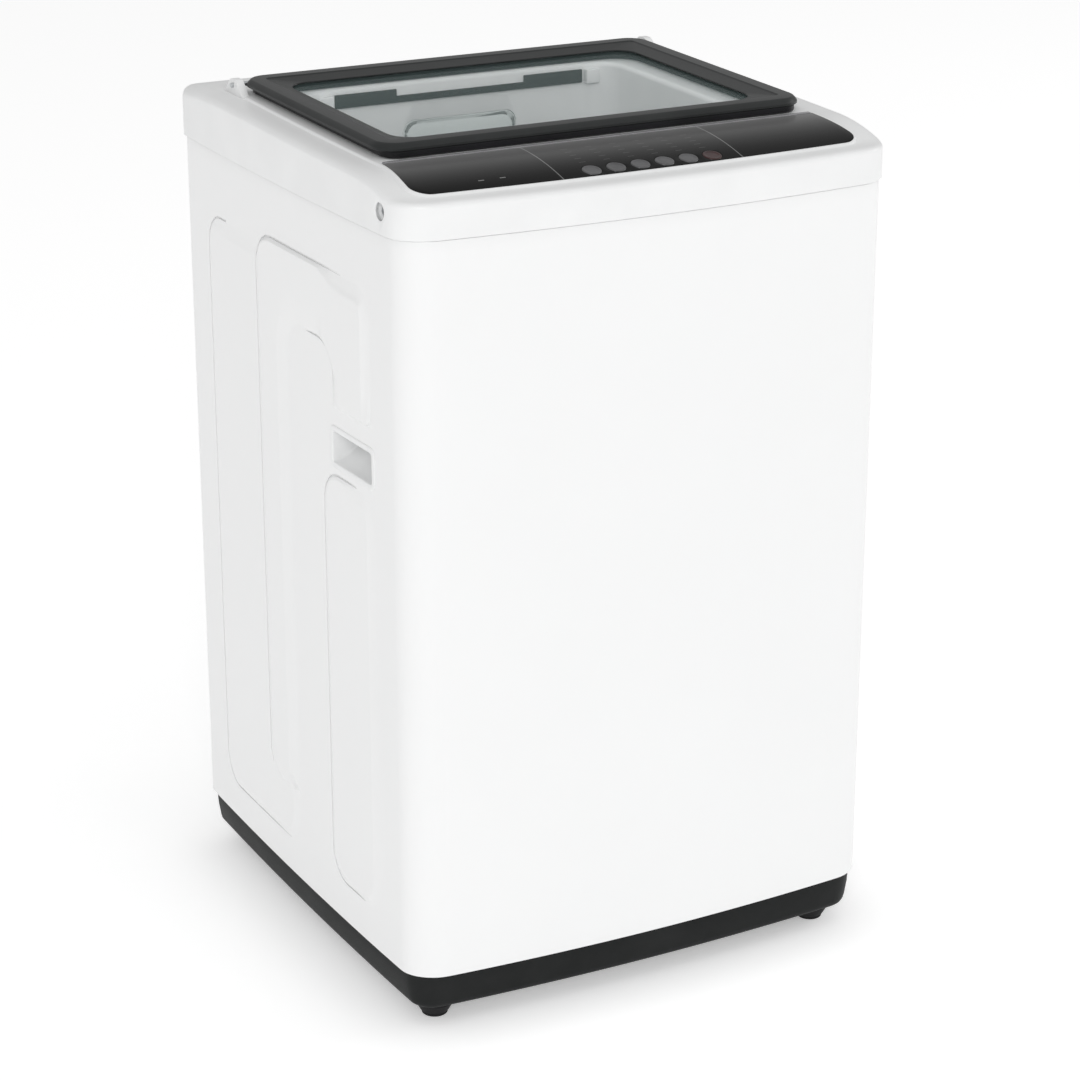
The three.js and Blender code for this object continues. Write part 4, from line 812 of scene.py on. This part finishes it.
def makeCover():
    def fall(drop):
        def heightOf(x, y):
            back = max(0, y / body["half"]) ** 4
            return skinHeight(y) - drop * (1 + cover["rearFall"] / 5 * back)
        return heightOf

    def skin(rise):
        return lambda x, y: skinHeight(y) + rise

    seam = body["seam"] + cover["bottomGap"]
    rise = cover["platformRise"]
    mouth = mouthPlan(cover["mouthEdge"])
    top = platformPlan(-2.1)
    rows = [ringOf(bodyPlan(0.7), seam), ringOf(bodyPlan(0), seam + 0.7), ringOf(bodyPlan(0), 818)]
    for inset, drop in cover["shoulder"]:
        wide = bodyPlan(inset * (1 + cover["rearSpread"]))
        spread = [max(0, y / body["half"]) ** 4 for x, y in wide]
        points = [(a + (c - a) * s, b + (d - b) * s) for (a, b), (c, d), s in zip(bodyPlan(inset), wide, spread)]
        rows.append(ringOf(points, fall(drop)))
    rows += [
        ringOf(between(bodyPlan(12), platformPlan(0.4), 0.5), skin(-rise)),
        ringOf(platformPlan(0.5), skin(-rise)),
        ringOf(platformPlan(0.1), skin(-rise * 0.93)),
        ringOf(platformPlan(-0.2), skin(-rise * 0.75)),
        ringOf(platformPlan(-1.1), skin(-rise * 0.2)),
        ringOf(platformPlan(-1.5), skin(-rise * 0.05)),
        ringOf(top, skin(0)),
    ]
    rows += [ringOf(between(top, mouth, share / 14), skin(0)) for share in range(1, 14)]
    edge = cover["mouthEdge"]
    for turn in range(0, 6):
        angle = math.pi / 2 * turn / 5
        rows.append(ringOf(mouthPlan(edge * (1 - math.sin(angle))), skin(-edge * (1 - math.cos(angle)))))
    wall, floor, web = cover["wall"], cover["mouthFloor"], cover["web"]
    rows += [ringOf(mouthPlan(0), 800), ringOf(mouthPlan(0), floor + 0.8), ringOf(mouthPlan(0.8), floor)]
    rows += [ringOf(mouthPlan(wall), floor), ringOf(mouthPlan(wall), skin(-edge - wall - web))]
    inner = platformPlan(-3)
    shares = (0.0, 0.3, 0.6, 0.8, 1.0)
    rows += [ringOf(between(mouthPlan(wall + 4), inner, share), skin(-wall - web)) for share in shares]
    rows += [ringOf(bodyPlan(wall + 6), fall(12)), ringOf(bodyPlan(wall), fall(19)), ringOf(bodyPlan(wall), seam)]
    return surface("topCover", rows, tube=True)


coverPiece = makeCover()
print("cover skin made")


# A slab of the panel's shape between two heights from the cover's skin
def panelSlab(name, above, below, grow=0.0, rearTo=None, columns=60):
    run = panelPlace["rear"] - panelPlace["front"]
    start = (panelPlace["rear"] - rearTo) / run if rearTo else 0
    shares = [start] if rearTo else []
    shares += [i / 16 * 0.76 for i in range(17)]
    shares += [0.76 + 0.24 * math.sin(math.pi / 2 * i / 10) for i in range(1, 11)]
    lines = []
    for share in shares:
        y = panelPlace["rear"] - run * share + grow * (1 - 2 * max(0, share))
        sweep = ease(share)
        roundStart = 1 - panelPlace["corner"] / run
        past = max(0, (share - roundStart) / (1 - roundStart))
        nip = panelPlace["corner"] * (1 - math.sqrt(max(0, 1 - past * past)))
        half = panelPlace["rearHalf"] + (panelPlace["frontHalf"] - panelPlace["rearHalf"]) * sweep - nip + grow
        lines.append([(half * (2 * i / columns - 1), y) for i in range(columns + 1)])
    topRows = [ringOf(line, lambda x, y: skinHeight(y) + above) for line in lines]
    lowRows = [ringOf(line, lambda x, y: skinHeight(y) + below) for line in lines]
    slab = [top + low[::-1] for top, low in zip(topRows, lowRows)]
    ends = [low + low[::-1] for low in (lowRows[0], lowRows[-1])]
    return surface(name, [ends[0]] + slab + [ends[1]])


drawer = {"half": 65, "low": 775, "high": 814, "corner": 12, "front": 150.3, "thickness": 3, "play": 0.4}
screw = {"y": -215, "z": 822, "pocket": 8.5}
valve = {"x": 112, "z": 816, "radius": 13.4}


def prismY(name, outline, near, far):
    rows = [[(x, near, z) for x, z in outline], [(x, far, z) for x, z in outline]]
    return surface(name, rows, poles=True)


def makeOpenings():
    bed = panelSlab("bed", 12, -3.3, 0.35, rearTo=-150)
    play = drawer["play"]
    outline = roundedOutline(drawer["half"] + play, 740, drawer["high"] + play, drawer["corner"])
    way = prismY("drawerWay", outline, 141, 162)

    def bore(name, radius, near, far, steps, centre, axis):
        return turned(name, [(0, near), (radius, near), (radius, far), (0, far)], steps, centre, axis, tube=False)

    nozzle = bore("nozzleHole", valve["radius"], 250, 280, 32, (valve["x"], valve["z"]), "Y")
    pockets = []
    for side in (-1, 1):
        ends = sorted((side * 255, side * 280))
        pockets.append(bore("pocket", screw["pocket"], *ends, 40, (screw["y"], screw["z"]), "X"))
    cutWith(coverPiece, bed, way, nozzle, *pockets)
    soften(coverPiece, 0.5, 2, 50)
    finishPiece(coverPiece, "cabinet", "white_plastic", "top_cover", angle=28)


makeOpenings()
print("cover openings cut")


# Screw cups and screws at the sides, hinge ears, wall brackets
ears = {"near": 233.2, "far": 241.2, "reach": 25, "foot": 855.5, "top": 870, "droop": 400}
brackets = {"x": 154, "half": 8, "front": 142, "rear": 151, "low": 834, "high": 849}


def makeCoverFittings():
    face = body["half"] - body["sideBow"] * (screw["y"] / body["half"]) ** 2
    for side, label in ((-1, "Left"), (1, "Right")):
        def across(profile):
            return [(radius, side * (face - depth)) for radius, depth in profile]

        cup = turned(
            "screwCup" + label,
            across([(8.45, 0.6), (8.45, 7), (2.6, 7), (2.6, 9), (10.5, 9), (10.5, 3.2), (8.45, 3.2)]),
            40, (screw["y"], screw["z"]), "X",
        )
        finishPiece(cup, "cabinet", "white_plastic")
        head = turned(
            "screwHead" + label,
            across([(0, 4), (3.4, 3.9), (4.3, 4.4), (4.5, 5.2), (4.5, 6.7), (2, 6.7), (2, 18), (0, 19)]),
            32, (screw["y"], screw["z"]), "X", tube=False,
        )
        for turn in ((5.6, 1.1), (1.1, 5.6)):
            low = (side * (face - 3) - 2, screw["y"] - turn[0] / 2, screw["z"] - turn[1] / 2)
            high = (side * (face - 3) + 2, screw["y"] + turn[0] / 2, screw["z"] + turn[1] / 2)
            cutWith(head, block("slot", low, high, 0))
        finishPiece(head, "cabinet", "zinc_steel", "side_screw_left" if side < 0 else "side_screw_right")
        near, far = sorted((side * ears["near"], side * ears["far"]))
        outline = []
        for step in range(-16, 17):
            away = step * ears["reach"] / 16
            fall = ease((abs(away) - 4) / (ears["reach"] - 4))
            height = ears["foot"] + (ears["top"] - ears["foot"]) * (1 - fall) - away * away / ears["droop"]
            outline.append((deck["hingeY"] - away, height))
        outline += [(deck["hingeY"] - ears["reach"], 853), (deck["hingeY"] + ears["reach"], 853)]
        ear = surface("hingeEar" + label, [[(x, y, z) for y, z in outline] for x in (near, far)], poles=True)
        finishPiece(soften(ear, 0.8, 3, 40), "cabinet", "white_plastic")
        x = side * brackets["x"]
        near = x - brackets["half"], brackets["front"], brackets["low"]
        far = x + brackets["half"], brackets["rear"], brackets["high"]
        bracket = block("wallBracket" + label, near, far, 1.2, 3)
        finishPiece(bracket, "cabinet", "white_plastic")


makeCoverFittings()
print("cover fittings made")

# Control panel, strip, buttons and the generic marks beside them
buttons = {
    "names": ["program_button", "water_level_button", "wash_button", "rinse_button", "start_button", "power_button"],
    "pieces": ["programKey", "waterLevelKey", "washKey", "rinseKey", "startKey", "powerKey"],
    "first": -57,
    "pitch": 26,
    "y": -231,
    "halfLength": 9.5,
    "halfWidth": 9,
    "play": 0.35,
    "proud": 0.8,
    "stem": 2.5,
    "sunk": -1.9,
    "stemFoot": 823.3,
}


def heightAt(x, y):
    share = max(0, (panelPlace["rear"] - y) / (panelPlace["rear"] + body["half"]))
    return skinHeight(y - body["frontBow"] * share * (x / body["half"]) ** 2)


def ellipseRow(x, y, long, wide, rise=0.0, level=None, steps=40):
    row = []
    for i in range(steps):
        angle = 2 * math.pi * i / steps
        px, py = x + long * math.cos(angle), y + wide * math.sin(angle)
        row.append((px, py, level or heightAt(px, py) + rise))
    return row


def makePanel():
    panel = panelSlab("controlPanel", 0.25, -3, 0)
    places = [buttons["first"] + buttons["pitch"] * i for i in range(6)]
    holes = []
    for x in places:
        reach = [buttons[size] + buttons["play"] for size in ("halfLength", "halfWidth")]
        rows = [ellipseRow(x, buttons["y"], *reach, rise) for rise in (-8, 8)]
        holes.append(surface("keyHole", rows, poles=True))
    cutWith(panel, *holes)
    soften(panel, 0.7, 3, 40)
    finishPiece(panel, "cabinet", "panel_gloss", "control_panel", angle=25)
    for x, nodeName, name in zip(places, buttons["names"], buttons["pieces"]):
        long, wide, proud = buttons["halfLength"], buttons["halfWidth"], buttons["proud"]
        stem, sunk, y = buttons["stem"], buttons["sunk"], buttons["y"]
        profile = [(1, sunk), (1, 0.2), (0.965, proud * 0.75), (0.9, proud), (0.78, proud)]
        profile += [(0.72, proud * 0.6), (0.5, proud * 0.4), (0.2, proud * 0.35)]
        rows = [ellipseRow(x, y, stem, stem, level=buttons["stemFoot"]), ellipseRow(x, y, stem, stem, sunk)]
        rows += [ellipseRow(x, y, long * share, wide * share, rise) for share, rise in profile]
        key = surface(name, rows, poles=True)
        slot = "red_button" if nodeName == "power_button" else "grey_button"
        finishPiece(key, bodyOf[nodeName], slot, nodeName, angle=50)
    strip = surface("panelStrip", stripRows())
    finishPiece(soften(strip, 0.4, 2, 40), "cabinet", "grey_trim", "panel_trim_strip")


def stripRows():
    rows = []
    for i in range(61):
        x = 234.3 * (i / 30 - 1)
        ends = [(-154.7, -1.2), (-154.7, 0.9), (-150.2, 0.9), (-150.2, -1.2)]
        rows.append([(*swell(x, y), skinHeight(y) + rise) for y, rise in ends])
    middle = [tuple(np.mean(np.array(row), axis=0)) for row in (rows[0], rows[-1])]
    return [[middle[0]] * 4] + rows + [[middle[1]] * 4]


makePanel()
print("panel made")

# Lid, drawn about its hinge axis and tipped to the slope of the deck
lid = {
    "half": 232,
    "front": -326,
    "rear": 5.5,
    "radius": 24,
    "halfThickness": 7,
    "split": -0.5,
    "skirt": 6,
    "dip": 1.2,
    "web": 3.4,
    "seat": 2.4,
    "gap": 0.6,
    "bed": 0.9,
    "pane": 3.2,
    "hinge": (0, 178, 864),
    "window": (197, -290, -28.5, 24),
}
tip = math.atan((deck["rearRise"] - deck["frontRise"]) / (deck["hingeY"] - deck["lidFront"]))


def lidPlan(inset):
    radius = max(lid["radius"] - inset, 4)
    return plan(lid["half"] - inset, lid["front"] + inset, lid["rear"] - inset, radius, radius)


def lowerPlan(inset):
    skirt = lid["skirt"]
    radius = max(lid["radius"] - skirt - inset, 4)
    return plan(lid["half"] - skirt - inset, lid["front"] + inset, lid["rear"] - skirt - inset, radius, radius)


def windowPlan(grow):
    half, front, back, radius = lid["window"]
    return plan(half + grow, front - grow, back + grow, radius + grow, radius + grow)


def onLid(outline, height):
    hx, hy, hz = lid["hinge"]
    cos, sin = math.cos(tip), math.sin(tip)
    return [(x + hx, y * cos - height * sin + hy, y * sin + height * cos + hz) for x, y in outline]


def makeLid():
    top = lid["halfThickness"]
    split = lid["split"]
    inner = top - lid["dip"] - lid["web"]
    rows = [
        (lidPlan(0.5), split),
        (lidPlan(0), split + 0.5),
        (lidPlan(0), split + 2.6),
        (lidPlan(0.3), split + 3.0),
        (lidPlan(1.4), top - 2.8),
        (lidPlan(3.6), top - 0.7),
        (lidPlan(4.4), top - 0.2),
        (lidPlan(5.4), top),
        (lidPlan(18.6), top),
        (lidPlan(19.2), top - 0.3),
        (lidPlan(20), top - 1.0),
        (lidPlan(20.6), top - 1.2),
        (windowPlan(1.2), inner + 0.1),
        (windowPlan(0.5), inner - 0.1),
        (windowPlan(0), inner - 0.6),
        (windowPlan(0), inner - 1.5),
        (windowPlan(12.3), inner - 1.5),
        (windowPlan(12.3), split),
    ]
    frameTop = surface("lidUpperFrame", [onLid(outline, height) for outline, height in rows], tube=True)
    finishPiece(frameTop, "lid", "charcoal_plastic", "lid_upper_frame", angle=24)
    low = -lid["halfThickness"]
    glassLow = top - lid["seat"] - lid["web"] - lid["bed"] - lid["pane"]
    under = split - 0.3
    rows = [
        (lowerPlan(1.6), low),
        (lowerPlan(0.5), low + 0.5),
        (lowerPlan(0), low + 1.6),
        (lowerPlan(0), under - 0.3),
        (lowerPlan(0.3), under),
        (windowPlan(12.6), under),
        (windowPlan(12.6), glassLow),
        (windowPlan(3.6), glassLow),
        (windowPlan(3), glassLow - 0.5),
        (windowPlan(3), low + 0.8),
        (windowPlan(3.8), low),
    ]
    frameLow = surface("lidLowerFrame", [onLid(outline, height) for outline, height in rows], tube=True)
    finishPiece(frameLow, "lid", "black_plastic", "lid_lower_frame", angle=30)
    paneTop = top - lid["seat"] - lid["web"] - lid["gap"]
    rows = [
        (windowPlan(11.4), paneTop - lid["pane"]),
        (windowPlan(12), paneTop - 2.6),
        (windowPlan(12), paneTop - 0.6),
        (windowPlan(11.4), paneTop),
    ]
    pane = surface("lidGlass", [onLid(outline, height) for outline, height in rows], poles=True)
    finishPiece(pane, "lid", "tinted_glass", "lid_glass", angle=30)
    for side, label in ((-1, "left"), (1, "right")):
        near, far = sorted((side * (lid["half"] - 12), side * (lid["half"] + 12)))
        profile = [(0, near), (2.1, near), (2.5, near + 0.5), (2.5, far - 0.5), (2.1, far), (0, far)]
        pin = turned("hingePin" + label.capitalize(), profile, 24, lid["hinge"][1:], "X", tube=False)
        finishPiece(pin, "lid", "zinc_steel", "hinge_pin_" + label)


makeLid()
print("lid made")

# The drawer, seen through the glass
def makeMouthFittings():
    outline = roundedOutline(drawer["half"], drawer["low"], drawer["high"], drawer["corner"], 10)
    near, far = drawer["front"], drawer["front"] + drawer["thickness"]

    def shrunk(share):
        middle = (drawer["low"] + drawer["high"]) / 2

        def drawn(value, centre):
            return value - math.copysign(min(share, abs(value - centre)), value - centre)

        return [(drawn(x, 0), drawn(z, middle)) for x, z in outline]

    levels = [(0, far), (0, near + 0.8), (0.8, near), (4, near), (4.8, near + 0.7), (9, near + 0.7)]
    front = surface("drawerFront", [[(x, y, z) for x, z in shrunk(share)] for share, y in levels], poles=True)
    refined("detergent_drawer", "pale_plastic", 0.4)
    finishPiece(front, "drawer", "pale_plastic")


makeMouthFittings()
for nodeName, slot, width in (
    ("opening_trim", "charcoal_plastic", 0.6),
    ("rear_panel", "zinc_sheet", 0.35),
    ("drawer_housing", "pale_plastic", 0.5),
    ("water_inlet_valve", "valve_plastic", 0.7),
    ("drain_outlet", "black_plastic", 0.6),
    ("power_cord_gland", "black_plastic", 0.6),
    ("lint_filter", "pale_plastic", 1.0),
):
    refined(nodeName, slot, width)
print("fittings made")

# Tub, basket, balance ring and pulsator, seen with the lid open
drum = {
    "radius": 218,
    "floor": 214,
    "top": 716,
    "fillet": 16,
    "sheet": 1.2,
    "holes": 64,
    "holeRows": 22,
    "firstHole": 244,
    "holePitch": 20,
    "holeRadius": 2.2,
    "hub": 20,
}
wheel = {"radius": 168, "low": 222, "edge": 5, "hub": 42, "crown": 247, "vanes": 6, "vaneHalf": 10, "reach": 148}


def makeBasket():
    near = drum["holeRadius"] * math.sqrt(0.5)
    pitch = 2 * math.pi / drum["holes"]
    lean = near / drum["radius"]
    offsets = (0, pitch / 2 - lean, pitch / 2, pitch / 2 + lean)
    turns = [i * pitch + offset for i in range(drum["holes"]) for offset in offsets]
    wide, floor, fillet = drum["radius"], drum["floor"], drum["fillet"]
    levels = [("floor", r, floor) for r in (drum["hub"], 60, 120, 180, wide - fillet)]
    for i in range(1, 7):
        angle = math.pi / 2 * i / 6
        levels.append(("floor", wide - fillet * (1 - math.sin(angle)), floor + fillet * (1 - math.cos(angle))))
    for i in range(drum["holeRows"]):
        z = drum["firstHole"] + i * drum["holePitch"]
        levels += [("low", wide, z - near), ("mid", wide, z), ("high", wide, z + near)]
        levels.append(("gap", wide, z + drum["holePitch"] / 2))
    levels.append(("gap", wide, drum["top"]))
    rows = []
    for kind, radius, z in levels:
        row = []
        for k, turn in enumerate(turns):
            angle, height = turn, z
            if kind == "mid" and k % 4 in (1, 3):
                angle += (k % 4 - 2) * (drum["holeRadius"] - near) / drum["radius"]
            if kind in ("low", "high") and k % 4 == 2:
                height += (drum["holeRadius"] - near) * (1 if kind == "high" else -1)
            row.append((radius * math.cos(angle), radius * math.sin(angle), height))
        rows.append(row)
    basket = surface("spinBasket", rows)
    takeUp(basket)
    bpy.ops.object.mode_set(mode="EDIT")
    bpy.ops.mesh.select_mode(type="FACE")
    bpy.ops.mesh.select_all(action="DESELECT")
    bpy.ops.object.mode_set(mode="OBJECT")
    for face in basket.data.polygons:
        x, y, z = (value / mm for value in face.center)
        row = (z - drum["firstHole"]) / drum["holePitch"]
        around = math.atan2(y, x) % (2 * math.pi) / pitch % 1 * pitch * drum["radius"]
        inRow = -0.4 < row < drum["holeRows"] and abs(row - round(row)) * drum["holePitch"] < near
        face.select = inRow and abs(around - pitch * drum["radius"] / 2) < near
    bpy.ops.object.mode_set(mode="EDIT")
    bpy.ops.mesh.delete(type="FACE")
    bpy.ops.object.mode_set(mode="OBJECT")
    wall = basket.modifiers.new("sheet", "SOLIDIFY")
    wall.thickness, wall.offset = drum["sheet"] * mm, -1
    applyAll(basket)
    finishPiece(basket, "basket", "stainless", "spin_basket", angle=40)


def makePulsator():
    edge = wheel["low"] + wheel["edge"]
    half = (wheel["crown"] - edge) / 2
    radii = [wheel["radius"] - 1.5, wheel["radius"] - 5] + [wheel["radius"] - 5 - i * 5 for i in range(1, 32)] + [4]
    steps = 180

    def plate(r):
        if r >= wheel["radius"] - 5:
            return edge
        if r >= wheel["hub"]:
            return edge + half * (wheel["radius"] - 5 - r) / (wheel["radius"] - 5 - wheel["hub"])
        return edge + half + half * min(1, (wheel["hub"] - r) * 2 / wheel["hub"])

    def vane(r):
        middle = wheel["reach"] / 2
        if r > middle:
            return edge + 5 + (wheel["crown"] - edge - 5) * max(0, wheel["reach"] - r) / middle
        return wheel["crown"] - half * (middle - r) / middle

    def top(r, angle):
        turn = 2 * math.pi / wheel["vanes"]
        off = (angle + turn / 2) % turn - turn / 2
        away = abs(r * math.sin(off)) / wheel["vaneHalf"]
        mask = 1 - ease((away - 0.25) / 1.1)
        end = unit((wheel["reach"] + 6 - r) / 10)
        return plate(r) + max(0, vane(r) - plate(r)) * mask * end

    def ring(r, heightOf):
        angles = [2 * math.pi * i / steps for i in range(steps)]
        return [(r * math.cos(a), r * math.sin(a), heightOf(r, a)) for a in angles]

    flat = lambda r, a: wheel["low"]
    rows = [ring(9, flat), ring(wheel["radius"] - 4, flat)]
    rows.append(ring(wheel["radius"] - 0.8, lambda r, a: wheel["low"] + 0.6))
    rows += [ring(wheel["radius"], lambda r, a: wheel["low"] + 1.6), ring(wheel["radius"], lambda r, a: edge - 1)]
    rows += [ring(r, top) for r in radii]
    finishPiece(surface("pulsator", rows, poles=True), "agitator", "pale_plastic", "pulsator", angle=40)


def makeDrum():
    ringLow, ringHigh = 684.3, 730.3
    profile = [
        (185, ringLow), (209.5, ringLow), (216.7, ringLow + 7), (216.7, 716.3), (221, 716.3), (221, 724), (218.5, 728),
        (214, ringHigh), (187, ringHigh), (183, 729), (180, 726), (178, 721), (178, 692), (180, 687.5),
    ]
    ring = turned("balanceRing", profile, 128)
    finishPiece(ring, "basket", "pale_plastic", "balance_ring", angle=35)
    inner = 748.3
    profile = [
        (188, 735.3), (238.3, 735.3), (238.3, 717.3), (241.3, 717.3), (241.3, 736.8), (239.8, 738.3),
        (191.6, 738.3), (191, 739), (191, inner - 0.8), (190.2, inner), (188.8, inner), (188, inner - 0.8),
    ]
    finishPiece(turned("tubCover", profile, 128), "tub", "white_plastic", "tub_cover", angle=35)


makeBasket()
makePulsator()
makeDrum()
for nodeName, slot, width in (
    ("outer_tub", "white_plastic", 1.0),
    ("mounting_plate", "zinc_steel", 0.4),
    ("gearbox", "cast_aluminium", 1.2),
    ("motor", "motor_steel", 1.0),
    ("drive_pulley", "cast_aluminium", 0.5),
    ("motor_pulley", "cast_aluminium", 0.4),
    ("drain_valve", "valve_plastic", 0.8),
):
    refined(nodeName, slot, width)
print("drum made")

# Suspension springs: one coil drawn about the origin's axis, then copied to each rod
coil = {
    "radius": 15,
    "wire": 1.95,
    "low": 115.9,
    "high": 199.5,
    "turns": 7,
    "endTurns": 0.8,
    "endPitch": 2.1,
    "steps": 22,
    "round": 10,
}


def makeSprings():
    total = coil["turns"] + 2 * coil["endTurns"]
    low, high = coil["low"] + coil["wire"], coil["high"] - coil["wire"]
    rise = (high - low - 2 * coil["endTurns"] * coil["wire"] * coil["endPitch"]) / coil["turns"]
    rows, z = [], low
    count = round(total * coil["steps"])
    for i in range(count + 1):
        turn = i * total / count
        atEnd = turn < coil["endTurns"] or turn > total - coil["endTurns"]
        if i:
            z += (coil["wire"] * coil["endPitch"] if atEnd else rise) * total / count
        angle = 2 * math.pi * turn
        row = []
        for k in range(coil["round"]):
            lean = 2 * math.pi * k / coil["round"]
            out = coil["radius"] + coil["wire"] * math.cos(lean)
            height = min(max(z, low), high) + coil["wire"] * math.sin(lean)
            row.append((out * math.cos(angle), out * math.sin(angle), height))
        rows.append(row)
    pattern = surface("springPattern", rows, poles=True)
    for corner in ("front_left", "front_right", "rear_left", "rear_right"):
        nodeName = "suspension_spring_" + corner
        low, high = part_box(nodeName)
        middle = [(a + b) / 2 for a, b in zip(low, high)]
        spring = placed(camel(nodeName), pattern.data.copy())
        spring.data.transform(Matrix.Translation((middle[0], middle[1], 0)))
        smooth(spring, 40)
        spring.data.materials.append(finishes["zinc_steel"])
        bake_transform(spring)
        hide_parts(nodeName)
    bpy.data.objects.remove(pattern)


makeSprings()
print("springs made")

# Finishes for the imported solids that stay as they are
for packed in nodes.values():
    for place in packed.material_slots:
        place.material = finishes[place.material.name.split(".")[0]]
print("packed solids dressed")
